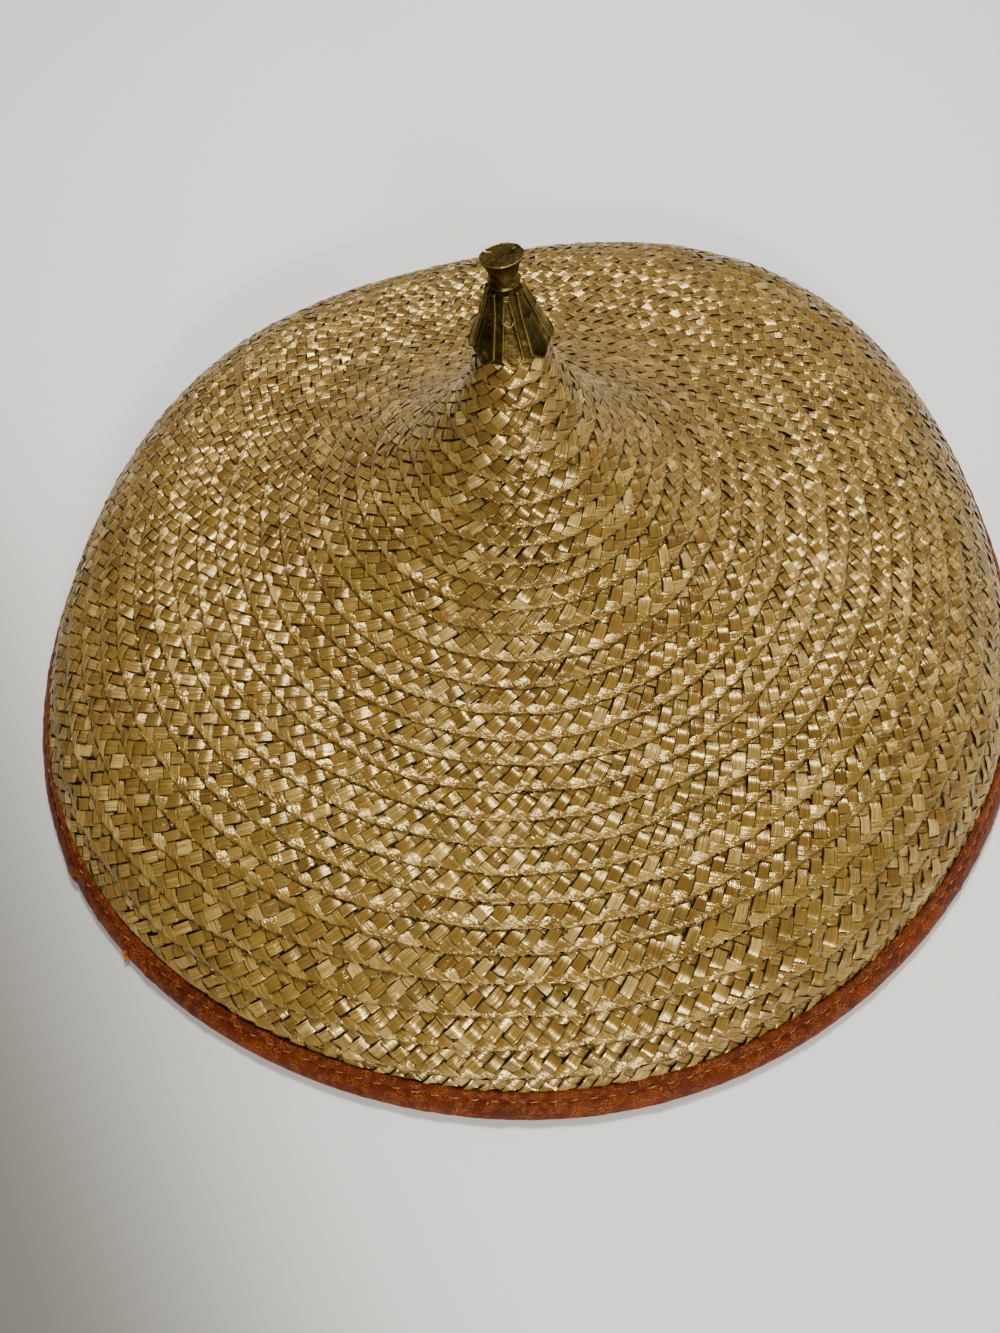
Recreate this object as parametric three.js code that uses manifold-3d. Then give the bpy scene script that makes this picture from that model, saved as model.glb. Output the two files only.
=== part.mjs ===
// Conical straw hat: a body of spirally sewn plait, a folded leather binding round the rim,
// and a brass finial pinned to the tip. Millimetres, +Z up. The hat rests on its rim at
// height 0, and the origin is the middle of that footprint.
import * as THREE from 'three';
import { mergeVertices } from 'three/addons/utils/BufferGeometryUtils.js';
import Module from 'manifold-3d';

const wasm = await Module();
wasm.setup();

// Straw body: outer face from the hole at the tip down to the rim
const STRAW_PROFILE = [
  { radius: 3.0, height: 143.2 },
  { radius: 8.2, height: 141.9 },
  { radius: 11.7, height: 138.4 },
  { radius: 12.9, height: 134.1 },
  { radius: 14.2, height: 130.3 },
  { radius: 16.7, height: 123.1 },
  { radius: 24.3, height: 108.1 },
  { radius: 34.6, height: 94.8 },
  { radius: 46.6, height: 83.1 },
  { radius: 60.0, height: 73.1 },
  { radius: 74.5, height: 64.7 },
  { radius: 89.9, height: 58.1 },
  { radius: 105.9, height: 53.0 },
  { radius: 122.2, height: 49.2 },
  { radius: 138.7, height: 46.0 },
  { radius: 155.2, height: 42.8 },
  { radius: 171.4, height: 38.1 },
  { radius: 186.5, height: 30.7 },
  { radius: 199.2, height: 19.8 },
  { radius: 209.9, height: 3.0 },
];
const STRAW_WALL = 2.3; // from the proud edges of the rows to the inner face
const ROW_STEP = 0.9; // each row's lower edge stands this far over the next row
const LOWEST_EDGE = 15.4; // lower edge of the last full row, measured up from the rim
const ROW_PITCH = [
  { row: 0, pitch: 10.5 },
  { row: 3, pitch: 9.8 },
  { row: 5, pitch: 7.6 },
  { row: 8, pitch: 8.9 },
  { row: 16, pitch: 9.2 },
  { row: 19, pitch: 7.2 },
  { row: 21, pitch: 6.9 },
  { row: 23, pitch: 8.2 },
];
const SHORTEST_ROW = 3.0; // a stretch shorter than this at the tip joins the row below it
const INNER_TIP = { length: 16, stations: 4 }; // the tight bend of the inner face under the tip
const INNER_STATIONS = 15; // places along the rest of the smooth inner face
const ROUND_SEGMENTS = 48;

// Out-of-round form of the hand-made hat: waves round it, their turns in degrees
const RIM_RADIUS = 210;
const PLAN_POWER = 1.75;
const PLAN_LOBES = [
  { waves: 2, share: 0.0486, turn: 59.1 },
  { waves: 3, share: 0.0193, turn: 58.2 },
  { waves: 4, share: 0.0182, turn: -36.8 },
  { waves: 5, share: 0.0104, turn: -9.9 },
];
const BRIM_POWER = 1.6;
const BRIM_WAVES = [
  { waves: 1, share: 0.0166, turn: -57.6 },
  { waves: 2, share: 0.069, turn: -1.4 },
  { waves: 3, share: 0.0052, turn: 1.4 },
];
const RIM_DRIFT = { x: 2.1, y: -6.8, power: 6 };
const CROWN_LEAN = { x: -0.045, y: -0.044, tipShare: 0.12 };

// Leather binding, folded round the straw's edge
const BINDING = { height: 10, leather: 1.2, gap: 0.3, topBevel: 0.8, soleOuter: 209.7, soleInner: 206.9 };

// Brass finial: its heights are measured from a level a little below the petals' points
const FINIAL_FOOT = 134.0;
const FINIAL_TILT = { x: -0.073, y: -0.05 };
const FINIAL_PIVOT = 2.2;
const FINIAL_CORE = [
  { radius: 12.1, height: 4.9 },
  { radius: 12.95, height: 5.0 },
  { radius: 11.7, height: 8.0 },
  { radius: 10.4, height: 11.2 },
  { radius: 9.1, height: 14.2 },
  { radius: 7.7, height: 17.6 },
  { radius: 6.3, height: 21.0 },
  { radius: 5.2, height: 24.2 },
  { radius: 4.6, height: 26.7 },
  { radius: 4.9, height: 27.2 },
  { radius: 4.4, height: 28.2 },
  { radius: 4.7, height: 31.0 },
  { radius: 6.1, height: 33.7 },
  { radius: 6.8, height: 34.8 },
  { radius: 6.7, height: 35.4 },
];
const FINIAL_HOLLOW = [
  { radius: 5.2, height: 10.4 },
  { radius: 9.6, height: 9.0 },
  { radius: 11.6, height: 6.2 },
];
const FINIAL_BORE = { radius: 1.7, bottom: 10.6, top: 18.0 };
const FINIAL_SEGMENTS = 20;
const PETAL_COUNT = 8;
const PETAL_TURN = THREE.MathUtils.degToRad(-86);
const PETAL_SINK = 0.25; // how far a petal is rooted in the core
const LONG_PETAL = { top: 25.2, shoulder: 6.6, point: 2.6, topWidth: 2.2, lowWidth: 8.3, relief: 0.6 };
const SHORT_PETAL = { top: 25.6, shoulder: 18.2, point: 15.8, topWidth: 2.2, lowWidth: 5.3, relief: 0.95 };

// Plain pin that holds the finial, with its head inside the tip
const PIN = { shank: 1.4, head: 5.0, headTop: 4.8, headThickness: 1.0, reach: 17.6 };

const STRAW = new THREE.MeshStandardMaterial({ color: 0xb8935a, roughness: 0.55, metalness: 0 });
const LEATHER = new THREE.MeshStandardMaterial({ color: 0x9c4f22, roughness: 0.45, metalness: 0 });
const BRASS = new THREE.MeshStandardMaterial({ color: 0x6f6232, roughness: 0.4, metalness: 0.9 });

const profilePoint = (row) => new THREE.Vector2(row.radius, row.height);

// Value of a table's column at any place along its rising key column, straight between rows
function columnAt(table, key, column, place) {
  const after = table.findIndex((row) => row[key] > place);
  if (after === 0) return table[0][column];
  if (after < 0) return table[table.length - 1][column];
  const [low, high] = [table[after - 1], table[after]];
  const share = (place - low[key]) / (high[key] - low[key]);
  return THREE.MathUtils.lerp(low[column], high[column], share);
}

// Lathe about +Z of a closed profile of (radius, height) points, given outside downwards
function latheAboutZ(points, segments) {
  return new THREE.LatheGeometry([...points].reverse(), segments).rotateX(Math.PI / 2);
}

// The same shape with its shared vertices merged, so that it is one closed mesh
function closedMesh(geometry) {
  geometry.deleteAttribute('normal');
  geometry.deleteAttribute('uv');
  const merged = mergeVertices(geometry);
  merged.computeVertexNormals();
  return merged;
}

// Moves every vertex of a geometry by a function from one point to another
function reshape(geometry, move) {
  const place = geometry.attributes.position;
  const point = new THREE.Vector3();
  for (let i = 0; i < place.count; i += 1) {
    point.fromBufferAttribute(place, i);
    move(point);
    place.setXYZ(i, point.x, point.y, point.z);
  }
  return geometry;
}

// Sum of a table's waves at a turn about the hat's axis
function waveSum(table, turn) {
  return table.reduce((sum, row) => {
    const phase = row.waves * (turn - THREE.MathUtils.degToRad(row.turn));
    return sum + row.share * Math.cos(phase);
  }, 0);
}

// Lobed plan, wavy brim, rim set off to one side, leaning crown
function handMade(point) {
  const radius = Math.hypot(point.x, point.y);
  const turn = Math.atan2(point.y, point.x);
  const share = radius / RIM_RADIUS;
  const spread = 1 + waveSum(PLAN_LOBES, turn) * share ** PLAN_POWER;
  const drift = share ** RIM_DRIFT.power;
  const onBrim = Math.sin(Math.PI * Math.min(share, 1) ** BRIM_POWER);
  const nod = Math.exp(-((share / CROWN_LEAN.tipShare) ** 2));
  const drop = nod * (CROWN_LEAN.x * point.x + CROWN_LEAN.y * point.y);
  point.set(
    point.x * spread + CROWN_LEAN.x * point.z + RIM_DRIFT.x * drift,
    point.y * spread + CROWN_LEAN.y * point.z + RIM_DRIFT.y * drift,
    point.z * (1 + onBrim * waveSum(BRIM_WAVES, turn)) - drop,
  );
}

// The straw's outer face as a smooth curve, and points set off from it along its normal
const strawCurve = new THREE.SplineCurve(STRAW_PROFILE.map(profilePoint));
strawCurve.arcLengthDivisions = 2000;
const strawLength = strawCurve.getLength();

function offStraw(along, out) {
  const share = THREE.MathUtils.clamp(along / strawLength, 0, 1);
  const down = strawCurve.getTangentAt(share);
  return strawCurve.getPointAt(share).add(new THREE.Vector2(-down.y, down.x).multiplyScalar(out));
}

// Places of the rows' lower edges along the profile, from the tip down
function rowEdges() {
  const edges = [];
  let edge = strawLength - LOWEST_EDGE;
  while (edge > SHORTEST_ROW) {
    edges.unshift(edge);
    edge -= columnAt(ROW_PITCH, 'row', 'pitch', edges.length);
  }
  return edges;
}

// Straw body: rows like shingles outside, smooth inside, open below and at the pin's hole
function strawBody() {
  const outer = [offStraw(0, -ROW_STEP)];
  for (const edge of rowEdges()) {
    outer.push(offStraw(edge, 0), offStraw(edge, -ROW_STEP));
  }
  outer.push(offStraw(strawLength, -ROW_STEP));
  const inner = [];
  for (let i = INNER_STATIONS; i > 0; i -= 1) {
    const along = THREE.MathUtils.lerp(INNER_TIP.length, strawLength, i / INNER_STATIONS);
    inner.push(offStraw(along, -STRAW_WALL));
  }
  for (let i = INNER_TIP.stations; i >= 0; i -= 1) {
    inner.push(offStraw((INNER_TIP.length * i) / INNER_TIP.stations, -STRAW_WALL));
  }
  return [...outer, ...inner, outer[0].clone()];
}

// Binding: two leather legs along the straw's last stretch, joined under its edge by a flat sole
function rimBinding() {
  const edge = strawCurve.getPointAt(1);
  const down = strawCurve.getTangentAt(1);
  const out = new THREE.Vector2(-down.y, down.x);
  const at = (along, off) => edge.clone().addScaledVector(down, along).addScaledVector(out, off);
  const outside = BINDING.leather + BINDING.gap - ROW_STEP;
  const mouthOut = outside - BINDING.leather;
  const mouthIn = -STRAW_WALL - BINDING.gap;
  const inside = mouthIn - BINDING.leather;
  const outerCorner = at(BINDING.leather, outside);
  const innerCorner = at(-BINDING.leather, inside);
  return [
    at(-BINDING.height, mouthOut),
    at(-BINDING.height, outside - 0.3 * BINDING.leather),
    at(-BINDING.height + BINDING.topBevel, outside),
    outerCorner,
    new THREE.Vector2(outerCorner.x, outerCorner.y / 3),
    new THREE.Vector2(BINDING.soleOuter, 0),
    new THREE.Vector2(BINDING.soleInner, 0),
    new THREE.Vector2(innerCorner.x, innerCorner.y / 2),
    at(-BINDING.height, inside),
    at(-BINDING.height, mouthIn),
    at(BINDING.gap, mouthIn),
    at(BINDING.gap, mouthOut),
    at(-BINDING.height, mouthOut),
  ];
}

// Solid of the boolean library from a closed geometry, and back again
function toSolid(geometry) {
  const merged = closedMesh(geometry);
  return new wasm.Manifold(new wasm.Mesh({
    numProp: 3,
    vertProperties: new Float32Array(merged.attributes.position.array),
    triVerts: new Uint32Array(merged.index.array),
  }));
}

function fromSolid(solid) {
  const mesh = solid.getMesh();
  const geometry = new THREE.BufferGeometry();
  geometry.setAttribute('position', new THREE.BufferAttribute(mesh.vertProperties, 3));
  geometry.setIndex(new THREE.BufferAttribute(mesh.triVerts, 1));
  geometry.computeVertexNormals();
  return geometry;
}

// One petal: a thin plate wrapped on the bell, widening to its shoulder and ending in a point
function petalPlate(petal, turn) {
  const plate = new THREE.BoxGeometry(1, 1, 1, 2, 4, 1);
  return reshape(plate, (point) => {
    const down = 0.5 - point.y;
    const aside = Math.abs(2 * point.x);
    const lowest = THREE.MathUtils.lerp(petal.point, petal.shoulder, aside);
    const height = THREE.MathUtils.lerp(petal.top, lowest, down);
    const width = THREE.MathUtils.lerp(petal.topWidth, petal.lowWidth, down);
    const core = columnAt(FINIAL_CORE.slice(1), 'height', 'radius', height);
    const radius = core + (point.z > 0 ? petal.relief : -PETAL_SINK);
    const angle = turn + (point.x * width) / (core + petal.relief);
    point.set(radius * Math.cos(angle), radius * Math.sin(angle), height);
  });
}

// Finial: hollow flared bell, neck and flat top, with two layers of petals cast on the bell
function brassFinial() {
  const outline = [
    new THREE.Vector2(0, FINIAL_CORE[FINIAL_CORE.length - 1].height),
    ...[...FINIAL_CORE].reverse().map(profilePoint),
    ...[...FINIAL_HOLLOW].reverse().map(profilePoint),
    new THREE.Vector2(FINIAL_BORE.radius, FINIAL_BORE.bottom),
    new THREE.Vector2(FINIAL_BORE.radius, FINIAL_BORE.top),
    new THREE.Vector2(0, FINIAL_BORE.top),
  ];
  let finial = toSolid(latheAboutZ(outline, FINIAL_SEGMENTS));
  for (const petal of [LONG_PETAL, SHORT_PETAL]) {
    for (let i = 0; i < PETAL_COUNT; i += 1) {
      finial = finial.add(toSolid(petalPlate(petal, PETAL_TURN + (i * 2 * Math.PI) / PETAL_COUNT)));
    }
  }
  return fromSolid(finial);
}

// Pin: flat head under the tip, and a shank that stands in the finial's bore
function finialPin() {
  const headBottom = PIN.headTop - PIN.headThickness;
  return [
    new THREE.Vector2(0, PIN.reach),
    new THREE.Vector2(PIN.shank, PIN.reach),
    new THREE.Vector2(PIN.shank, PIN.headTop),
    new THREE.Vector2(PIN.head, PIN.headTop),
    new THREE.Vector2(PIN.head, headBottom),
    new THREE.Vector2(0, headBottom),
  ];
}

function namedMesh(name, geometry, material) {
  const mesh = new THREE.Mesh(geometry, material);
  mesh.name = name;
  return mesh;
}

// The finial and its pin stand on the leaning tip, tilted a little more than the crown
function tipGroup() {
  const group = new THREE.Group();
  const pivot = new THREE.Vector3(0, 0, FINIAL_FOOT + FINIAL_PIVOT);
  handMade(pivot);
  const axis = new THREE.Vector3(FINIAL_TILT.x, FINIAL_TILT.y, 1).normalize();
  group.position.copy(pivot);
  group.quaternion.setFromUnitVectors(new THREE.Vector3(0, 0, 1), axis);
  const finial = namedMesh('brass_finial', brassFinial(), BRASS);
  const pin = namedMesh('finial_pin', closedMesh(latheAboutZ(finialPin(), FINIAL_SEGMENTS)), BRASS);
  for (const piece of [finial, pin]) {
    piece.position.z = -FINIAL_PIVOT;
    group.add(piece);
  }
  return group;
}

const body = closedMesh(reshape(latheAboutZ(strawBody(), ROUND_SEGMENTS), handMade));
const binding = closedMesh(reshape(latheAboutZ(rimBinding(), ROUND_SEGMENTS), handMade));

const hat = new THREE.Group();
hat.add(namedMesh('straw_body', body, STRAW), namedMesh('rim_binding', binding, LEATHER), tipGroup());

// The middle of the footprint is brought to the origin
const middle = new THREE.Box3().setFromObject(hat).getCenter(new THREE.Vector3());
hat.position.set(-middle.x, -middle.y, 0);

export default hat;
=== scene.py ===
import bpy
import numpy as np
from mathutils import Matrix


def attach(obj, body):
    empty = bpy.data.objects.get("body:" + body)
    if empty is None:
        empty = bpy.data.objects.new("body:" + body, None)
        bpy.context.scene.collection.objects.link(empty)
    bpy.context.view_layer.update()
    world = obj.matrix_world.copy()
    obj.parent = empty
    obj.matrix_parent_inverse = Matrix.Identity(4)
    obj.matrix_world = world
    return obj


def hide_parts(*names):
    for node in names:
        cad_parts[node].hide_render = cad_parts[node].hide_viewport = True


bl_info = {
    "name": "Conical Straw Hat",
    "version": (1, 0, 0),
    "blender": (4, 5, 0),
    "location": "View3D > Sidebar > Straw Hat",
    "description": "Plaited straw, leather binding and brass finial of a conical hat",
    "category": "Object",
}

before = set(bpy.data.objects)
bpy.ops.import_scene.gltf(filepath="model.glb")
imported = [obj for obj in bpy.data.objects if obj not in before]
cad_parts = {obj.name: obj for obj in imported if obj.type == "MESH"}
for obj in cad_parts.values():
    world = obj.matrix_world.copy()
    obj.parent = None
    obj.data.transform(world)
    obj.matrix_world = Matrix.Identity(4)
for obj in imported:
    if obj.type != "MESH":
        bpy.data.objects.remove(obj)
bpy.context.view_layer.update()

MM = 0.001

# The hat's form, in millimetres, as in the part's source

# Outer face of the straw from the hole at the tip down to the rim: radius, height
STRAW_PROFILE = np.array([
    (3.0, 143.2), (8.2, 141.9), (11.7, 138.4), (12.9, 134.1), (14.2, 130.3),
    (16.7, 123.1), (24.3, 108.1), (34.6, 94.8), (46.6, 83.1), (60.0, 73.1),
    (74.5, 64.7), (89.9, 58.1), (105.9, 53.0), (122.2, 49.2), (138.7, 46.0),
    (155.2, 42.8), (171.4, 38.1), (186.5, 30.7), (199.2, 19.8), (209.9, 3.0),
])
LOWEST_EDGE = 15.4  # lower edge of the last full row, measured up from the rim
ROW_NUMBER = (0, 3, 5, 8, 16, 19, 21, 23)
ROW_PITCH = (10.5, 9.8, 7.6, 8.9, 9.2, 7.2, 6.9, 8.2)
RIM_RADIUS = 210
# Waves round the hat: their number, size as a share, and turn in degrees
PLAN_LOBES = ((2, 0.0486, 59.1), (3, 0.0193, 58.2), (4, 0.0182, -36.8), (5, 0.0104, -9.9))
PLAN_POWER = 1.75
BRIM_WAVES = ((1, 0.0166, -57.6), (2, 0.069, -1.4), (3, 0.0052, 1.4))
BRIM_POWER = 1.6
DRIFT_X, DRIFT_Y, DRIFT_POWER = 2.1, -6.8, 6
LEAN_X, LEAN_Y, LEAN_TIP_SHARE = -0.045, -0.044, 0.12
STRAW_WALL = 2.3
ROW_STEP = 0.9
BINDING_HEIGHT = 10
LEATHER = 1.2
BINDING_GAP = 0.3
SOLE_OUTER = 209.7
SOLE_INNER = 206.9
SOURCE_SEGMENTS = 48
FINIAL_FOOT = 134.0
FINIAL_TILT = (-0.073, -0.05)
FINIAL_PIVOT = 2.2
FRONT = -np.pi / 2


def wave_sum(table, turn):
    """Sum of a table's waves at an array of turns about the hat's axis."""
    return sum(share * np.cos(count * (turn - np.radians(start))) for count, share, start in table)


def hand_made(points):
    """The out-of-round form of the hat, for an array of points in millimetres.

    The plan is stretched by waves of two to five lobes that grow with a power of the
    radius, the rim drifts to one side, the crown leans with its height, and the brim
    rises and falls once, twice and three times in a turn.
    """
    x, y, z = points[..., 0], points[..., 1], points[..., 2]
    turn = np.arctan2(y, x)
    share = np.hypot(x, y) / RIM_RADIUS
    spread = 1 + wave_sum(PLAN_LOBES, turn) * share**PLAN_POWER
    drift = share**DRIFT_POWER
    on_brim = np.sin(np.pi * np.minimum(share, 1) ** BRIM_POWER)
    nod = np.exp(-((share / LEAN_TIP_SHARE) ** 2))
    return np.stack([
        x * spread + LEAN_X * z + DRIFT_X * drift,
        y * spread + LEAN_Y * z + DRIFT_Y * drift,
        z * (1 + on_brim * wave_sum(BRIM_WAVES, turn)) - nod * (LEAN_X * x + LEAN_Y * y),
    ], axis=-1)


def smooth_line(points, samples):
    """Points on a smooth line through a row of points.

    Every stretch is a cubic in its share of the way. Its slope at each end is half the
    step between the two points on either side of that end.
    """
    count = len(points)
    place = np.linspace(0, count - 1, samples)
    low = np.minimum(place.astype(int), count - 2)
    share = (place - low)[:, None]
    before, start = points[np.maximum(low - 1, 0)], points[low]
    end, after = points[low + 1], points[np.minimum(low + 2, count - 1)]
    leaving, arriving = (end - before) / 2, (after - start) / 2
    cubic = (2 * start - 2 * end + leaving + arriving) * share**3
    square = (-3 * start + 3 * end - 2 * leaving - arriving) * share**2
    return cubic + square + leaving * share + start


STRAW_CURVE = smooth_line(STRAW_PROFILE, 4000)
STRAW_ALONG = np.concatenate([[0], np.cumsum(np.linalg.norm(np.diff(STRAW_CURVE, axis=0), axis=1))])
STRAW_DOWN = np.gradient(STRAW_CURVE, axis=0)
STRAW_DOWN = STRAW_DOWN / np.linalg.norm(STRAW_DOWN, axis=1, keepdims=True)
STRAW_LENGTH = STRAW_ALONG[-1]


def off_straw(along, out):
    """Radius and height of a point at a length along the profile, set off along its normal."""
    radius = np.interp(along, STRAW_ALONG, STRAW_CURVE[:, 0])
    height = np.interp(along, STRAW_ALONG, STRAW_CURVE[:, 1])
    down_radius = np.interp(along, STRAW_ALONG, STRAW_DOWN[:, 0])
    down_height = np.interp(along, STRAW_ALONG, STRAW_DOWN[:, 1])
    return radius - down_height * out, height + down_radius * out


def binding_outline():
    """Corners of the binding's section in the part's source: two legs and a flat sole."""
    edge = STRAW_CURVE[-1]
    down = STRAW_DOWN[-1]
    out = np.array([-down[1], down[0]])
    outside = LEATHER + BINDING_GAP - ROW_STEP
    inside = -STRAW_WALL - BINDING_GAP - LEATHER
    return np.array([
        edge - BINDING_HEIGHT * down + outside * out,
        edge + LEATHER * down + outside * out,
        (SOLE_OUTER, 0),
        (SOLE_INNER, 0),
        edge - LEATHER * down + inside * out,
    ])


def footprint_middle():
    """Middle of the binding's box before the hat is brought to the origin."""
    turn = FRONT + 2 * np.pi * np.arange(SOURCE_SEGMENTS) / SOURCE_SEGMENTS
    outline = binding_outline()
    ring = np.stack([
        outline[:, :1] * np.cos(turn),
        outline[:, :1] * np.sin(turn),
        np.broadcast_to(outline[:, 1:], (len(outline), SOURCE_SEGMENTS)),
    ], axis=-1)
    flat = hand_made(ring).reshape(-1, 3)
    return (flat.min(axis=0)[:2] + flat.max(axis=0)[:2]) / 2


FOOTPRINT_MIDDLE = footprint_middle()


def on_hat(turn, radius, height):
    """Points in metres for arrays of turn, radius and height on the hand-made hat."""
    flat = np.stack([radius * np.cos(turn), radius * np.sin(turn), height], axis=-1)
    made = hand_made(flat)
    made[..., :2] -= FOOTPRINT_MIDDLE
    return made * MM


# Meshes


def grid_faces(rows, columns, wrap_rows=False, wrap_columns=False):
    """Four-cornered faces of a grid of points laid out row after row."""
    i = np.arange(rows if wrap_rows else rows - 1)[:, None]
    j = np.arange(columns if wrap_columns else columns - 1)[None, :]
    i2, j2 = (i + 1) % rows, (j + 1) % columns
    corners = [i * columns + j, i2 * columns + j, i2 * columns + j2, i * columns + j2]
    return np.stack(corners, axis=-1).reshape(-1, 4)


def mesh_piece(name, points, faces, uv=None, colours=None, sharp_pairs=None):
    """An object from an array of points and one or more arrays of faces, with its attributes."""
    groups = faces if isinstance(faces, tuple) else (faces,)
    corners = np.concatenate([group.ravel() for group in groups]).astype(np.int32)
    sizes = np.concatenate([np.full(len(group), group.shape[1]) for group in groups])
    starts = np.concatenate([[0], np.cumsum(sizes)[:-1]]).astype(np.int32)
    mesh = bpy.data.meshes.new(name)
    mesh.vertices.add(len(points))
    mesh.vertices.foreach_set("co", np.ascontiguousarray(points, dtype=np.float32).ravel())
    mesh.loops.add(len(corners))
    mesh.loops.foreach_set("vertex_index", corners)
    mesh.polygons.add(len(starts))
    mesh.polygons.foreach_set("loop_start", starts)
    mesh.update(calc_edges=True)
    if uv is not None:
        layer = mesh.uv_layers.new(name="UVMap")
        layer.data.foreach_set("uv", np.ascontiguousarray(uv[corners], dtype=np.float32).ravel())
    for key, values in (colours or {}).items():
        attribute = mesh.attributes.new(key, "FLOAT_COLOR", "POINT")
        attribute.data.foreach_set("color", np.ascontiguousarray(values, dtype=np.float32).ravel())
    mesh.shade_smooth()
    if sharp_pairs is not None:
        mark_sharp(mesh, sharp_pairs)
    piece = bpy.data.objects.new(name, mesh)
    bpy.context.scene.collection.objects.link(piece)
    return piece


def mark_sharp(mesh, edge_test):
    """Edges whose two vertex numbers pass the test keep a sharp corner in the shading."""
    ends = np.empty(len(mesh.edges) * 2, dtype=np.int32)
    mesh.edges.foreach_get("vertices", ends)
    ends = ends.reshape(-1, 2)
    layer = mesh.attributes.new("sharp_edge", "BOOLEAN", "EDGE")
    layer.data.foreach_set("value", edge_test(ends[:, 0], ends[:, 1]))


def finish_piece(piece, material, material_slot, *nodes):
    """Material, body, and the nodes that the piece stands for. Its material slot is not used."""
    piece.data.materials.append(material)
    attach(piece, "root")
    if nodes:
        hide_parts(*nodes)


# Straw plait

STRANDS = 7
COLUMNS = 7  # a strand crosses six others, and the seventh step takes it round the edge
HALF_STEPS = 2  # stations for each column
RING = 5  # corners of a strand's section
PLAIT_PIECES = ("plait_brim_edge", "plait_brim_low", "plait_brim_high", "plait_slope", "plait_peak")
# Height of a strand's middle on its way up the plait, at each half column: over is 1
RISING_LIFT = np.array([0, -0.6, -1, 0, 1, 0, -1, 0, 1, 0, -1, 0, 1, 0.6, 0])
# Columns are pressed together at the plait's edges and drawn long in the rows that are seen
PLACE_KNOTS = (0, 1, 1.5, 2.5, 3, 6, 7)
ACROSS_KNOTS = (0, 0.084, 0.149, 0.358, 0.433, 0.912, 1)
# A strand's section lies square to it, except at the plait's edges, where it folds
SQUARE_PLACES = (0, 0.5, 1, 1.5, 5.5, 6, 6.5, 7)
SQUARE_KNOTS = (0, 0.35, 0.8, 1, 1, 0.8, 0.35, 0)
COLUMN_LENGTH = 4.57  # length of straw for each column, millimetres, in the UV
UV_STEP = 40  # strands lie this far apart in the UV
FIRST_ROW = -1.2  # the plait starts under the leather
LAST_ALONG = 3.0  # and ends at the tip's hole
TIP_REACH = 8.0  # nearer to the tip than this, lengths are drawn together
RIM_MARGIN = 0.2  # the straw stops this far short of the profile's end
# The last rows hang further down away from this turn
SAG, SAG_ROWS = 4.5, 3
SAG_TURN, SAG_SPREAD = np.radians(-86), np.radians(30)
# Under the leather the straw is squeezed between two depths, and more softly above it
PRESS_START, PRESS_EASE = 13.5, 3.0
PRESS_TOP, PRESS_BOTTOM, PRESS_FREE = -0.75, -2.4, 3.0
PRESS_GIVE = 0.1
FOLD_FADE = 1.6  # columns over which an edge's crumpled folds fade out


def row_edges():
    """Row numbers and how far along the profile their lower edges lie, from the rim up."""
    rows = [-2.0, -1.0, 0.0]
    lowest = STRAW_LENGTH - LOWEST_EDGE
    along = [lowest + 2 * ROW_PITCH[0], lowest + ROW_PITCH[0], lowest]
    while along[-1] > -2 * ROW_PITCH[-1]:
        rows.append(rows[-1] + 1)
        along.append(along[-1] - np.interp(rows[-1], ROW_NUMBER, ROW_PITCH))
    return np.array(rows), np.array(along)


def waves(seed, count, longest, shortest, total=1.0, loop=None):
    """A smooth random function of one length: sines of random wavelength and phase, summed.

    Where a loop's length is given, every wave fits into it a whole number of times.
    """
    random = np.random.default_rng(seed)
    pitch = np.exp(random.uniform(np.log(shortest), np.log(longest), count))
    if loop:
        pitch = loop / np.round(loop / pitch)
    phase = random.uniform(0, 2 * np.pi, count)
    size = np.sqrt(pitch / longest) * total / np.sqrt(count / 2)

    def at(length):
        """The function's value at an array of lengths."""
        value = np.zeros_like(length, dtype=float)
        for one_pitch, one_phase, one_size in zip(pitch, phase, size):
            value += one_size * np.sin(2 * np.pi * length / one_pitch + one_phase)
        return value

    return at


class PlaitPath:
    """The spiral that the plait is sewn in: turn and profile place for a length along it."""

    def __init__(self):
        """Length of the plait's middle line at a fine series of rows, summed step by step."""
        rows, along = row_edges()
        self.rows = rows
        self.along = along
        last_row = np.interp(-LAST_ALONG, -along, rows)
        self.row = np.linspace(FIRST_ROW, last_row, 20000)
        middle = np.interp(self.row, rows, along) - self.pitch_at(self.row) / 2
        radius = off_straw(np.clip(middle, 0, STRAW_LENGTH), 0)[0]
        step = radius * 2 * np.pi * (self.row[1] - self.row[0])
        self.length = np.concatenate([[0], np.cumsum((step[1:] + step[:-1]) / 2)])

    def pitch_at(self, row):
        """Distance along the profile from a row's lower edge to that of the row above."""
        return np.interp(row, self.rows, self.along) - np.interp(row + 1, self.rows, self.along)

    def row_at(self, length):
        """Row number, with its fraction as a share of a turn, at a length along the plait."""
        return np.interp(length, self.length, self.row)


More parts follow.
